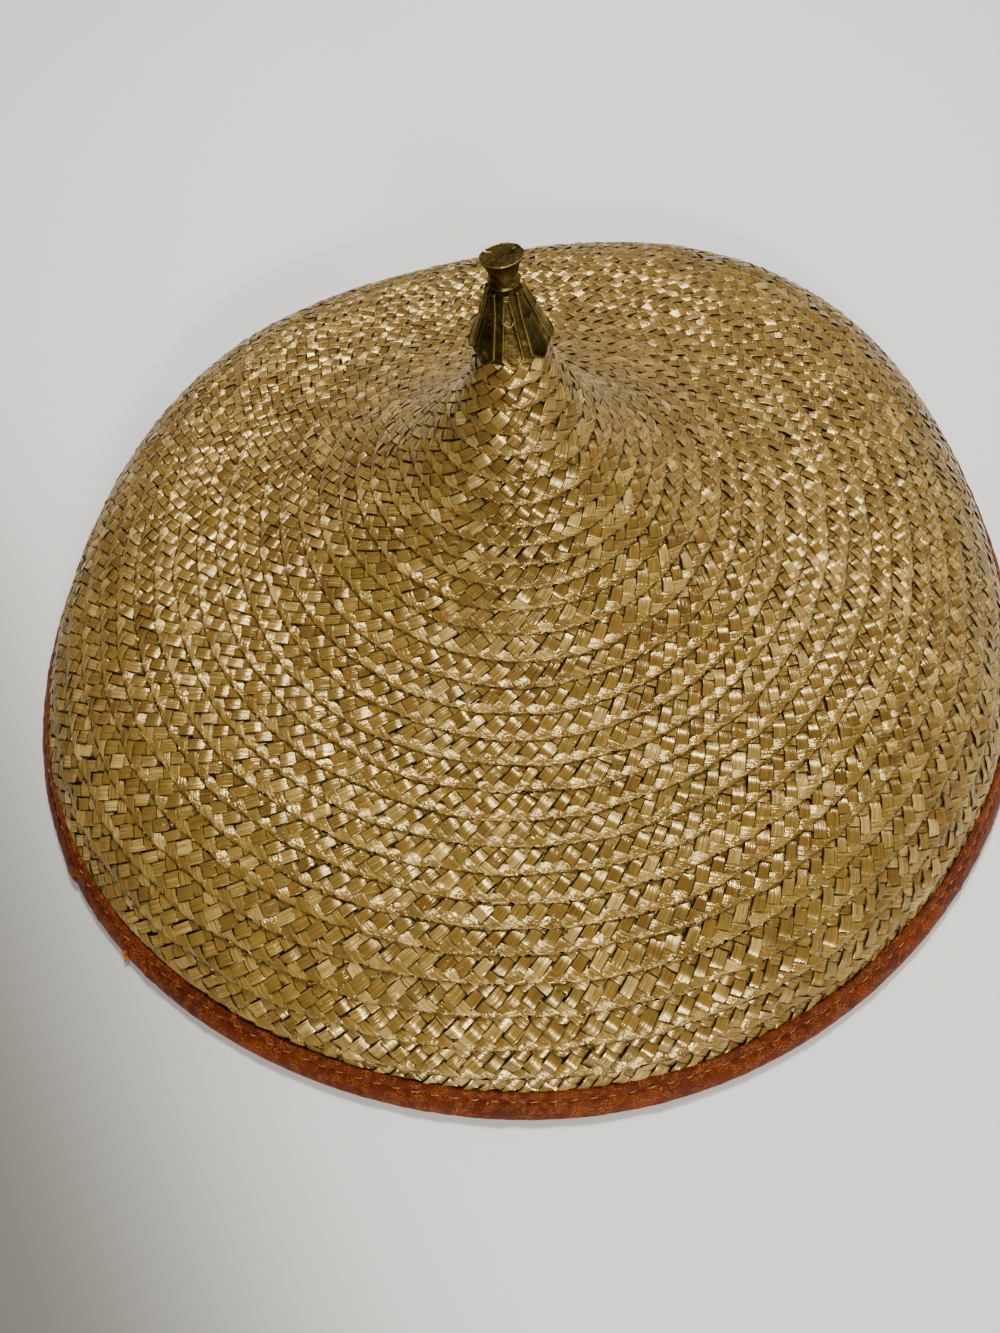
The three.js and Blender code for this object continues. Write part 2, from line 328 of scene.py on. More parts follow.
def strand_section(place, falling, width, plait, roll, fullness):
    """Five corners of a strand's section: right edge, one face, left edge and the other face.

    The strand folds over at the plait's edges. On the way down the first face looks out,
    on the way up the second one, which has two corners because more of it is seen. Where
    the strand lies over the others its outer face is full, and where it lies under them
    it is flat.
    """
    rising_lift = np.interp(place, np.arange(15) / HALF_STEPS, RISING_LIFT)
    over = np.where(falling, -rising_lift, rising_lift)
    middle = plait.lift * over
    full = plait.bulge * fullness
    crown = np.where(falling, plait.ridge, 1.0) * full
    above = plait.thin + (crown - plait.thin) * np.clip(0.5 + 0.5 * over, 0, 1)
    below = plait.thin + (full - plait.thin) * np.clip(0.5 - 0.5 * over, 0, 1)
    fold = (place == 0) | (place == COLUMNS)
    first = np.where(falling, above, -below)
    second = np.where(falling, -below, above)
    zero = np.zeros_like(middle)
    edge = np.where(fold, 0.5 * plait.bulge, 0)
    side = plait.shoulder * width / 2
    across = np.stack([width / 2, zero, -width / 2, -side, side], axis=-1)
    inward = np.stack([zero, -edge, zero, edge, edge], axis=-1)
    height = np.stack([
        middle + roll,
        np.where(fold, middle, middle + first),
        middle - roll,
        np.where(fold, middle, middle + second - plait.shoulder * roll),
        np.where(fold, middle, middle + second + plait.shoulder * roll),
    ], axis=-1)
    return across, inward, height, over


def plait_draws(plait, path, column):
    """Random shares for every stretch between two folds, and for every straw of a strand."""
    seeds = np.random.default_rng(plait.seed)
    stretch = (column // COLUMNS).astype(int)
    most = int(path.length[-1] / plait.strand_spacing) + 4
    return seeds.random((6, STRANDS, most))[:, :, stretch], seeds.random((3, STRANDS, most))


def sewn_points(plait, path, u, v, height, slope):
    """Points in metres for lengths along and across the plait and heights above its middle.

    The length along gives the turn and the row, the place across is measured up the
    profile from the row's lower edge, and the plait lies deeper the further up it goes.
    """
    row = path.row_at(u)
    pitch = path.pitch_at(row)
    turn = FRONT + 2 * np.pi * row
    wander = waves(plait.seed + 1, 14, 130, 22, plait.edge_wander)
    along = np.interp(row, path.rows, path.along) + rim_sag(turn, row) + wander(u) - v
    sway = waves(plait.seed + 2, 10, 60, 12, plait.height_wander)
    out = -plait.first_depth - plait.row_depth * v / pitch + height + slope[..., None]
    out = out + sway(u + 3 * v)
    along = soft_end(along)
    radius, z = off_straw(along, pressed(along, out))
    return on_hat(turn, radius, z).reshape(-1, 3)


def for_corners(*values):
    """Values of every station as rows of four, repeated for the corners of its section."""
    rows = np.stack(np.broadcast_arrays(*values), axis=-1).reshape(-1, 4)
    return np.repeat(rows, RING, axis=0)


def plait_arrays(plait, path, first, last):
    """Points, UV and straw attributes of the seven strands between two stations.

    Each strand is a strip folded to and fro between the plait's two edges, so its place
    across the plait is a triangle wave of its length, pressed together a little at the
    edges. A sine of its place swings it along the plait, so that it lies flatter where it
    is on top. Every stretch between two folds has its own fullness, tilt and width.
    """
    column = np.arange(first, last + 1) / HALF_STEPS
    strand = np.arange(STRANDS)[:, None]
    fold = np.mod(column, 2 * COLUMNS)
    falling = fold > COLUMNS
    place = np.where(falling, 2 * COLUMNS - fold, fold)
    stretches, straws = plait_draws(plait, path, column)
    spacing, width_share, tilting, stretch_tone, sloping, filling = stretches
    u_middle = column * plait.strand_spacing / 2 + strand * plait.strand_spacing
    u_middle = u_middle + plait.unevenness * (spacing - 0.5)
    straw_number = ((u_middle + 97 * strand) / plait.straw_length).astype(int)
    middle_column = plait.width / 6
    angle = np.arctan2(middle_column, plait.strand_spacing / 2 + plait.swing)
    square = np.interp(place, SQUARE_PLACES, SQUARE_KNOTS)
    u_middle = u_middle + plait.swing * square * np.sin(np.pi * place)
    width = plait.strand_width * (1 + plait.width_range * (width_share - 0.5))
    tilt = plait.tilt_range * (tilting - 0.5)
    slope = plait.slope_range * (sloping - 0.5) * np.sin(np.pi * place)
    fullness = 1 + plait.fullness_range * (filling - 0.5)
    across, inward, height, over = strand_section(
        np.broadcast_to(place, u_middle.shape), np.broadcast_to(falling, u_middle.shape),
        width, plait, tilt, fullness,
    )
    reach = square * np.sin(angle) + (1 - square) / np.sin(angle)
    shear = np.where(falling, 1, -1) * square * np.cos(angle)
    u = u_middle[..., None] + across * reach[:, None]
    v = (plait.width * np.interp(place, PLACE_KNOTS, ACROSS_KNOTS))[None, :, None] + inward
    v = v + across * shear[:, None]
    points = sewn_points(plait, path, u, v, height, slope)
    share = np.array([1.0, 0.5, 0.0, 0.5 - plait.shoulder / 2, 0.5 + plait.shoulder / 2])
    uv_across = plait.strand_width * share + UV_STEP * strand[..., None]
    uv_along = COLUMN_LENGTH * column[None, :, None]
    uv = np.stack(np.broadcast_arrays(uv_along, uv_across), axis=-1).reshape(-1, 2)
    straw_tone, gloss, green = (row[strand, straw_number] for row in straws)
    tone = 0.15 + 0.42 * straw_tone + 0.3 * stretch_tone
    at_edge = np.clip(1 - place / FOLD_FADE, 0, 1) + np.clip(1 - (COLUMNS - place) / FOLD_FADE, 0, 1)
    # depth arches the skin, and sets the painted shade where a strand goes under the others
    depth = np.clip(0.5 + 0.5 * over + 0.3 * at_edge, 0, 1)
    attributes = {
        "Straw": for_corners(tone, gloss, green, 1.0),
        "Lie": for_corners(depth, at_edge, tilting, sloping),
    }
    return points, uv, attributes, len(column)


def rim_sag(turn, row):
    """How much further down the last rows hang away from the front: a bump in the turn."""
    away = np.angle(np.exp(1j * (turn - SAG_TURN)))
    side = 1 - np.exp(-((away / SAG_SPREAD) ** 2))
    return SAG * side * np.exp(-np.maximum(row, 0) / SAG_ROWS)


def soft_end(along):
    """Lengths along the profile, drawn together near the tip so that none runs past it."""
    near_tip = TIP_REACH * np.exp((along - TIP_REACH) / TIP_REACH)
    return np.where(along > TIP_REACH, np.minimum(along, STRAW_LENGTH - RIM_MARGIN), near_tip)


def pressed(along, out):
    """Depth below the outer face, where the leather squeezes the straw near the rim."""
    held = np.clip((along - (STRAW_LENGTH - PRESS_START)) / PRESS_EASE, 0, 1)
    top = PRESS_TOP + (1 - held) * PRESS_FREE
    bottom = PRESS_BOTTOM - (1 - held) * PRESS_FREE
    out = np.where(out > top, top + PRESS_GIVE * (out - top), out)
    return np.where(out < bottom, bottom + PRESS_GIVE * (out - bottom), out)


def strand_faces(stations):
    """Faces of the strands' walls and end caps, all facing outwards."""
    wall = grid_faces(stations, RING, wrap_columns=True)[:, ::-1]
    first = np.arange(RING)[::-1]
    last = np.arange(RING) + (stations - 1) * RING
    caps = np.stack([first, last])
    shift = (np.arange(STRANDS) * stations * RING)[:, None, None]
    return (wall[None] + shift).reshape(-1, 4), (caps[None] + shift).reshape(-1, RING)


def along_strand_border(first, second):
    """True for edges along a strand's borders or along the shoulders of its wide face."""
    side = first % RING
    return (side == second % RING) & (side != 1)


def build_plait(plait, material):
    """The whole plait, in pieces of like length from the rim to the tip."""
    path = PlaitPath()
    free_length = path.length[-1] - STRANDS * plait.strand_spacing
    stations = int(HALF_STEPS * 2 * free_length / plait.strand_spacing)
    cuts = np.linspace(0, stations, len(PLAIT_PIECES) + 1).astype(int)
    for name, first, last in zip(PLAIT_PIECES, cuts[:-1], cuts[1:]):
        points, uv, colours, count = plait_arrays(plait, path, first, last)
        piece = mesh_piece(name, points, strand_faces(count), uv, colours, along_strand_border)
        finish_piece(piece, material, "straw", "straw_body")


# Node helpers


def add_node(tree, kind, inputs=None, **settings):
    """A node with its settings, its sockets' values and its links."""
    node = tree.nodes.new(kind)
    for key, value in settings.items():
        setattr(node, key, value)
    for socket, value in (inputs or {}).items():
        if isinstance(value, bpy.types.NodeSocket):
            tree.links.new(value, node.inputs[socket])
        else:
            node.inputs[socket].default_value = value
    return node


def maths(tree, operation, *values):
    """The result of a maths node, whose values are numbers or other nodes' outputs."""
    node = add_node(tree, "ShaderNodeMath", dict(enumerate(values)), operation=operation)
    return node.outputs[0]


def ramp(tree, factor, stops):
    """A colour ramp with its stops as (place, colour)."""
    node = add_node(tree, "ShaderNodeValToRGB", {"Fac": factor})
    elements = node.color_ramp.elements
    while len(elements) < len(stops):
        elements.new(0.5)
    for element, (place, colour) in zip(elements, stops):
        element.position = place
        element.color = (*colour[:3], 1)
    return node.outputs["Color"]


def mix(tree, factor, first, second, blend="MIX"):
    """Two colours mixed by a factor, each a value or another node's output."""
    node = add_node(tree, "ShaderNodeMix", data_type="RGBA", blend_type=blend)
    values = {0: factor, 6: first, 7: second}
    for number, value in values.items():
        if isinstance(value, bpy.types.NodeSocket):
            tree.links.new(value, node.inputs[number])
        else:
            node.inputs[number].default_value = value if number == 0 else (*value[:3], 1)
    return node.outputs[2]


def new_material(name):
    """A material with nothing but its shader, linked to the output."""
    material = bpy.data.materials.new(name)
    material.use_nodes = True
    tree = material.node_tree
    tree.nodes.clear()
    shader = tree.nodes.new("ShaderNodeBsdfPrincipled")
    output = tree.nodes.new("ShaderNodeOutputMaterial")
    tree.links.new(shader.outputs[0], output.inputs[0])
    return material, tree, shader


def noise(tree, vector, scale, detail, roughness):
    """A noise of several sizes over a vector, between 0 and 1."""
    return add_node(tree, "ShaderNodeTexNoise", {
        "Vector": vector, "Scale": scale, "Detail": detail, "Roughness": roughness,
    }).outputs["Fac"]


def stretched(tree, vector, *scale):
    """A vector scaled along its three axes."""
    return add_node(tree, "ShaderNodeMapping", {"Vector": vector, "Scale": scale}).outputs[0]


def object_place(tree):
    """The place of a point in its piece, in metres."""
    return add_node(tree, "ShaderNodeTexCoord").outputs["Object"]


def painted(tree, name):
    """The three values and the alpha of a colour attribute of the mesh."""
    source = add_node(tree, "ShaderNodeAttribute", attribute_name=name, attribute_type="GEOMETRY")
    parts = add_node(tree, "ShaderNodeSeparateColor", {"Color": source.outputs["Color"]})
    return parts.outputs[0], parts.outputs[1], parts.outputs[2], source.outputs["Alpha"]


def add_relief(tree, shader, height, strength, distance):
    """A height over the skin, given to the shader as a bump."""
    bump = add_node(tree, "ShaderNodeBump", {
        "Height": height, "Strength": strength, "Distance": distance,
    })
    tree.links.new(bump.outputs[0], shader.inputs["Normal"])


def mottle_group():
    """Soft uneven patches: a noise with its contrast raised, between 0 and 1."""
    name = "Mottle"
    if name in bpy.data.node_groups:
        return bpy.data.node_groups[name]
    group = bpy.data.node_groups.new(name, "ShaderNodeTree")
    group.interface.new_socket("Vector", in_out="INPUT", socket_type="NodeSocketVector")
    group.interface.new_socket("Scale", in_out="INPUT", socket_type="NodeSocketFloat")
    group.interface.new_socket("Contrast", in_out="INPUT", socket_type="NodeSocketFloat")
    group.interface.new_socket("Mask", in_out="OUTPUT", socket_type="NodeSocketFloat")
    start = group.nodes.new("NodeGroupInput")
    end = group.nodes.new("NodeGroupOutput")
    cloud = noise(group, start.outputs["Vector"], start.outputs["Scale"], 3.0, 0.6)
    centred = maths(group, "SUBTRACT", cloud, 0.5)
    steeper = maths(group, "MULTIPLY_ADD", centred, start.outputs["Contrast"], 0.5)
    clamped = add_node(group, "ShaderNodeClamp", {"Value": steeper})
    group.links.new(clamped.outputs[0], end.inputs["Mask"])
    return group


def mottle(tree, vector, scale, contrast):
    """The group of soft patches, at one scale and contrast."""
    node = add_node(tree, "ShaderNodeGroup", node_tree=mottle_group())
    tree.links.new(vector, node.inputs["Vector"])
    node.inputs["Scale"].default_value = scale
    node.inputs["Contrast"].default_value = contrast
    return node.outputs["Mask"]


def smooth_step(tree, value, low, high, start=0.0, end=1.0):
    """A value eased from start to end between two places."""
    node = add_node(tree, "ShaderNodeMapRange", {
        "Value": value, "From Min": low, "From Max": high, "To Min": start, "To Max": end,
    }, interpolation_type="SMOOTHSTEP")
    return node.outputs[0]


# Shares of a straw's half width between which painted shade darkens its border, and of its height
# in the plait between which the painted shade under the other straws lifts as it comes into sight
BORDER_SHADE_SPAN = (0.81, 0.93)
GAP_SHADE_SPAN = (0.40, 0.56)
# Where a straw is split: level of the noise, half the split's width, its depth and its tone
SPLIT_LEVEL, SPLIT_WIDTH, SPLIT_DEPTH, SPLIT_SHADE = 0.56, 0.012, -0.08, -0.45
# How far the painted shade darkens a straw's borders
OUTLINE_SHADE = -0.95
GREEN_FROM, GREEN_SHARE = 0.8, 0.45  # straws above this share are greenish, by so much


def straw_relief(tree, uv, plait, depth, at_edge, lean, tip, place):
    """Height of a straw's skin in millimetres, its fibres, distance from its middle and splits.

    A straw is rounded across its width and arched along each stretch on top of the
    others, and every stretch leans sideways and tips lengthwise by its own amount. Fine
    fibres run along it, some straws have split, and at the plait's edges, where the
    straws are folded, the skin is crumpled.
    """
    parts = add_node(tree, "ShaderNodeSeparateXYZ", {0: uv})
    along, across = parts.outputs[0], parts.outputs[1]
    arch = maths(tree, "COSINE", maths(tree, "MULTIPLY", depth, np.pi))
    wave = maths(tree, "SINE", maths(tree, "MULTIPLY", along, np.pi / COLUMN_LENGTH))
    own = maths(tree, "MULTIPLY", maths(tree, "MODULO", across, UV_STEP), 2 / plait.strand_width)
    sideways = maths(tree, "SUBTRACT", own, 1.0)
    aside = maths(tree, "ABSOLUTE", sideways)
    border = maths(tree, "POWER", aside, 4.0)
    fibres = noise(tree, stretched(tree, uv, 0.07, 1.5, 1), 1.0, 3.0, 0.6)
    strips = noise(tree, stretched(tree, uv, 0.045, 0.85, 1), 1.0, 1.0, 0.5)
    from_middle = maths(tree, "ABSOLUTE", maths(tree, "SUBTRACT", strips, SPLIT_LEVEL))
    split = smooth_step(tree, from_middle, 0.0, SPLIT_WIDTH, 1.0, 0.0)
    folds = noise(tree, place, 420.0, 2.0, 0.6)
    ridges = maths(tree, "ABSOLUTE", maths(tree, "SUBTRACT", folds, 0.5))
    crumple = maths(tree, "MULTIPLY", maths(tree, "MULTIPLY", ridges, at_edge), -plait.crumple)
    height = maths(tree, "MULTIPLY", border, -plait.rounding)
    height = maths(tree, "MULTIPLY_ADD", arch, -plait.arch, height)
    own_lean = maths(tree, "MULTIPLY_ADD", lean, plait.lean, -0.5 * plait.lean)
    own_tip = maths(tree, "MULTIPLY_ADD", tip, plait.tip, -0.5 * plait.tip)
    height = maths(tree, "MULTIPLY_ADD", sideways, own_lean, height)
    height = maths(tree, "MULTIPLY_ADD", wave, own_tip, height)
    height = maths(tree, "MULTIPLY_ADD", fibres, plait.fibre, height)
    height = maths(tree, "MULTIPLY_ADD", split, SPLIT_DEPTH, height)
    return maths(tree, "ADD", height, crumple), fibres, aside, split


def straw_colour(tree, plait, tone, green, fibres, patches):
    """A straw's own tone with its fibres' streaks and soft patches, and a few green ones."""
    streak = maths(tree, "MULTIPLY_ADD", fibres, plait.streak, -0.5 * plait.streak)
    cloud = maths(tree, "MULTIPLY_ADD", patches, 0.24, -0.12)
    shifted = maths(tree, "ADD", maths(tree, "ADD", tone, streak), cloud)
    colour = ramp(tree, shifted, [
        (0.0, plait.brown), (0.3, plait.tan), (0.62, plait.gold), (1.0, plait.pale),
    ])
    greenish = maths(tree, "MULTIPLY", maths(tree, "GREATER_THAN", green, GREEN_FROM), GREEN_SHARE)
    return mix(tree, greenish, colour, plait.green)


def straw_material(plait):
    """Split wheat straw: glossy skin, fine lengthwise fibres, and a tone for every straw."""
    material, tree, shader = new_material("Plaited straw")
    tone, gloss, green, _ = painted(tree, "Straw")
    depth, at_edge, lean, tip = painted(tree, "Lie")
    uv = add_node(tree, "ShaderNodeUVMap", uv_map="UVMap").outputs[0]
    place = object_place(tree)
    height, fibres, aside, split = straw_relief(tree, uv, plait, depth, at_edge, lean, tip, place)
    border = maths(tree, "POWER", aside, 4.0)
    flat = maths(tree, "SUBTRACT", 1.0, maths(tree, "MINIMUM", at_edge, 1.0))
    # Painted shade in the gaps: a straw darkens at its borders, except where it folds at the plait's edges
    outline = maths(tree, "MULTIPLY", smooth_step(tree, aside, *BORDER_SHADE_SPAN), flat)
    colour = straw_colour(tree, plait, tone, green, fibres, mottle(tree, place, 90, 2.0))
    # Paler borders where the straw folds at the plait's edges: partly peeled skin, partly a painted
    # highlight on the crumpled edges
    colour = mix(tree, maths(tree, "MULTIPLY", border, at_edge), colour, plait.pale)
    # Painted shade under the other straws: a strand darkens where it goes under them
    seen = smooth_step(tree, depth, *GAP_SHADE_SPAN)
    hidden = maths(tree, "MULTIPLY_ADD", seen, 1 - plait.gap_shade, plait.gap_shade)
    # rim is the painted shade at the straw's borders
    rim = maths(tree, "MULTIPLY_ADD", outline, OUTLINE_SHADE, 1.0)
    crack = maths(tree, "MULTIPLY_ADD", split, SPLIT_SHADE, 1.0)
    shade = maths(tree, "MULTIPLY", maths(tree, "MULTIPLY", hidden, rim), crack)
    grey = add_node(tree, "ShaderNodeCombineColor", {0: shade, 1: shade, 2: shade}).outputs[0]
    colour = mix(tree, 1.0, colour, grey, "MULTIPLY")
    tree.links.new(colour, shader.inputs["Base Color"])
    rough = maths(tree, "MULTIPLY_ADD", gloss, -0.12, 0.22)
    rough = maths(tree, "MULTIPLY_ADD", fibres, 0.12, rough)
    # Borders and gaps are made metallic and rougher, so that no pale reflection lightens their painted
    # shade
    gap = maths(tree, "MAXIMUM", outline, maths(tree, "SUBTRACT", 1.0, seen))
    tree.links.new(maths(tree, "MULTIPLY_ADD", gap, 0.25, rough), shader.inputs["Roughness"])
    tree.links.new(maths(tree, "MULTIPLY", gap, 0.8), shader.inputs["Metallic"])
    add_relief(tree, shader, height, 1.0, MM)
    shader.inputs["IOR"].default_value = 1.6
    shader.inputs["Specular IOR Level"].default_value = 1.0
    shader.inputs["Specular Tint"].default_value = (1.0, 0.78, 0.36, 1)
    return material


LINE_DRIFT = 0.0016  # the leather's fine lines wander this far, in metres


def leather_material(binding):
    """Orange-brown leather: pebbled grain, fine pale scratches, rubbed and darker patches."""
    material, tree, shader = new_material("Binding leather")
    place = object_place(tree)
    # Darkening holds the painted shade in the folds beside the join, and how far the leather darkens
    # towards the sole
    fold_shade, low, _, _ = painted(tree, "Darkening")
    drift = add_node(tree, "ShaderNodeTexNoise", {
        "Vector": place, "Scale": 500.0, "Detail": 1.0,
    }).outputs["Color"]
    bent = add_node(tree, "ShaderNodeVectorMath", {
        0: drift, 1: (LINE_DRIFT, LINE_DRIFT, LINE_DRIFT), 2: place,
    }, operation="MULTIPLY_ADD").outputs[0]
    grain = add_node(tree, "ShaderNodeTexVoronoi", {
        "Vector": place, "Scale": 1100.0,
    }, feature="SMOOTH_F1").outputs["Distance"]
    crease = add_node(tree, "ShaderNodeTexVoronoi", {
        "Vector": bent, "Scale": 900.0,
    }, feature="DISTANCE_TO_EDGE").outputs["Distance"]
    patches = mottle(tree, place, 60, 1.4)
    where = mottle(tree, place, 260, 7.0)
    colour = ramp(tree, patches, [(0.1, binding.dark), (0.5, binding.colour), (0.95, binding.rubbed)])
    lines = smooth_step(tree, crease, 0.0, 0.11, 1.0, 0.0)
    scratches = maths(tree, "MULTIPLY", lines, maths(tree, "MULTIPLY", where, 0.62))
    colour = mix(tree, scratches, colour, binding.scratch)
    # Painted shade in the folds beside the join, then darker towards the sole
    colour = mix(tree, maths(tree, "MULTIPLY", fold_shade, 0.9), colour, binding.crease)
    colour = mix(tree, maths(tree, "MULTIPLY", low, 0.6), colour, binding.dark)
    tree.links.new(colour, shader.inputs["Base Color"])
    rough = maths(tree, "MULTIPLY_ADD", patches, 0.15, 0.42)
    tree.links.new(rough, shader.inputs["Roughness"])
    folds = maths(tree, "MINIMUM", maths(tree, "MULTIPLY", crease, 6.0), 1.0)
    height = maths(tree, "MULTIPLY_ADD", folds, 0.4, maths(tree, "MULTIPLY", grain, -0.5))
    add_relief(tree, shader, height, 0.6, 0.0004)
    shader.inputs["Specular IOR Level"].default_value = 0.14
    shader.inputs["Specular Tint"].default_value = (1.0, 0.5, 0.25, 1)
    return material


def thread_material(binding):
    """Waxed thread: pale orange, with a fine twist."""
    material, tree, shader = new_material("Seam thread")
    twist = mottle(tree, object_place(tree), 1800, 2.0)
    colour = mix(tree, twist, binding.rubbed, binding.thread_colour)
    tree.links.new(colour, shader.inputs["Base Color"])
    shader.inputs["Roughness"].default_value = 0.45
    add_relief(tree, shader, twist, 0.5, 0.0002)
    return material


def frayed_material(binding):
    """Torn fibres of the leather's inside, brighter than its face."""
    material, tree, shader = new_material("Frayed leather")
    strands = mottle(tree, object_place(tree), 700, 3.0)
    colour = mix(tree, strands, binding.rubbed, binding.frayed)
    tree.links.new(colour, shader.inputs["Base Color"])
    shader.inputs["Roughness"].default_value = 0.8
    shader.inputs["Specular IOR Level"].default_value = 0.1
    return material


def brass_material(finial):
    """Old brass under an olive-brown patina, rubbed brighter on raised places."""
    material, tree, shader = new_material("Aged brass")
    place = object_place(tree)
    patches = mottle(tree, place, 140, 2.4)
    specks = mottle(tree, place, 900, 3.0)
    pointiness = add_node(tree, "ShaderNodeNewGeometry").outputs["Pointiness"]
    worn = add_node(tree, "ShaderNodeMapRange", {
        "Value": pointiness, "From Min": 0.5, "From Max": 0.56, "To Min": 0.0, "To Max": 1.0,
    }).outputs[0]
    colour = ramp(tree, patches, [(0.15, finial.dark), (0.7, finial.colour), (1.0, finial.bright)])
    colour = mix(tree, maths(tree, "MULTIPLY", worn, 0.35), colour, finial.bright)
    colour = mix(tree, painted(tree, "Scraped")[0], colour, finial.scrape)
    tree.links.new(colour, shader.inputs["Base Color"])
    tree.links.new(maths(tree, "MULTIPLY_ADD", patches, -0.12, 0.95), shader.inputs["Metallic"])
    rough = maths(tree, "MULTIPLY_ADD", specks, 0.2, 0.26)
    tree.links.new(rough, shader.inputs["Roughness"])
    add_relief(tree, shader, specks, 0.25, 0.0002)
    shader.inputs["Specular Tint"].default_value = (0.62, 0.54, 0.38, 1)
    return material


# Leather binding


RIM_LOOP = 2 * np.pi * RIM_RADIUS  # length of a round of the rim
SEAM_DOWN = 3.3  # the seam lies this far below the leather's top edge
SEAM_DEPTH = 0.42
SEAM_BULGE, SEAM_SPREAD = 0.1, 0.9  # the leather bulges this much between stitches
BINDING_CORNERS = 50  # corners of the leather's section
# The strip's end is laid over its start: turn, reaches of the swelling and the step, heights
JOIN_TURN = np.radians(217.8)
JOIN_REACH, JOIN_STEP = 0.05, 0.008
JOIN_SWELL, JOIN_DIP = 0.9, 0.4
FOLD_TURN = np.radians(211.5)  # lengthwise folds beside the join
FOLD_REACH = 0.075
FOLD_HEIGHTS = (5.0, 6.7, 8.4)
FOLD_WIDTH, FOLD_DEPTH = 0.36, 0.8
# Threads and fibres: how many, the rings along one and the corners of a ring
STITCH_RINGS, STITCH_CORNERS = 6, 6
TUFT_TURN = np.radians(227.4)
TUFT_FIBRES, TUFT_RINGS, TUFT_CORNERS = 70, 5, 4
TUFT_THICKNESS = 0.16


def smooth_loop(points, samples):
    """A closed smooth line through a ring of points, without its last point."""
    ring = np.concatenate([points[-2:-1], points[-1:], points, points[:1], points[1:2]])
    per_side = samples // len(points)
    count = (len(ring) - 1) * per_side + 1
    return smooth_line(ring, count)[2 * per_side:(2 + len(points)) * per_side]


def binding_section(binding):
    """Section of the leather, radius and height: flange, groove, soft roll, sole, inner leg."""
    edge = STRAW_CURVE[-1]
    down = STRAW_DOWN[-1]
    out = np.array([-down[1], down[0]])
    outside = LEATHER + BINDING_GAP - ROW_STEP
    mouth_out = outside - LEATHER
    mouth_in = -STRAW_WALL - BINDING_GAP
    inside = mouth_in - LEATHER

    def at(along, off):
        """A place down from the straw's edge and out from its face."""
        return edge + along * down + off * out

    return np.array([
        at(-BINDING_HEIGHT + 0.1, mouth_out),
        at(-BINDING_HEIGHT, mouth_out + 0.35),
        at(-BINDING_HEIGHT + 0.1, outside - 0.3),
        at(-BINDING_HEIGHT + 0.7, outside - 0.05),
        at(-BINDING_HEIGHT + 2.4, outside - 0.02),
        at(-BINDING_HEIGHT + SEAM_DOWN, outside - SEAM_DEPTH),
        at(-BINDING_HEIGHT + 4.2, outside - 0.05),
        at(-BINDING_HEIGHT + 5.6, outside + binding.roll),
        at(-BINDING_HEIGHT + 7.6, outside + binding.roll),
        at(-BINDING_HEIGHT + 9.5, outside + 0.15),
        (edge + 0.5 * LEATHER * down + outside * out) * (1, 0.75),
        np.array([SOLE_OUTER + 0.15, 0.25]),
        np.array([SOLE_OUTER - 0.6, 0.0]),
        np.array([SOLE_INNER + 0.5, 0.0]),
        np.array([SOLE_INNER - 0.1, 0.35]),
        at(-3.0, inside + 0.05),
        at(-6.5, inside),
        at(-BINDING_HEIGHT + 0.2, inside + 0.2),
        at(-BINDING_HEIGHT + 0.2, mouth_in - 0.2),
        at(-BINDING_HEIGHT + 0.6, mouth_in),
        at(-5.0, mouth_in),
        at(BINDING_GAP - 0.2, mouth_in),
        at(BINDING_GAP, (mouth_in + mouth_out) / 2),
        at(BINDING_GAP - 0.2, mouth_out),
        at(-5.0, mouth_out),
    ])


def stitch_count(binding):
    """Whole number of stitches round the rim."""
    return int(round(RIM_LOOP / binding.stitch_step))


def seam_sway(binding):
    """How far the leather's top edge waves up and down, for a length round the rim."""
    return waves(binding.seed, 8, 200, 25, 0.12, RIM_LOOP)


def join_folds(turn, height):
    """Share of a lengthwise fold beside the join: three lines that fade out along the rim."""
    near = np.exp(-((turn - FOLD_TURN) / FOLD_REACH) ** 4)
    return near * sum(np.exp(-((height - level) / FOLD_WIDTH) ** 2) for level in FOLD_HEIGHTS)


def join_relief(turn, height):
    """Leather standing out or pressed in beside the join: an overlapped end and three folds."""
    before = (JOIN_TURN - turn) / JOIN_REACH
    overlap = np.where(before > 0, np.exp(-before ** 2), 0.0) * JOIN_SWELL
    after = np.exp(-((turn - JOIN_TURN - JOIN_STEP) / JOIN_STEP) ** 2) * JOIN_DIP
    return overlap - after - FOLD_DEPTH * join_folds(turn, height)


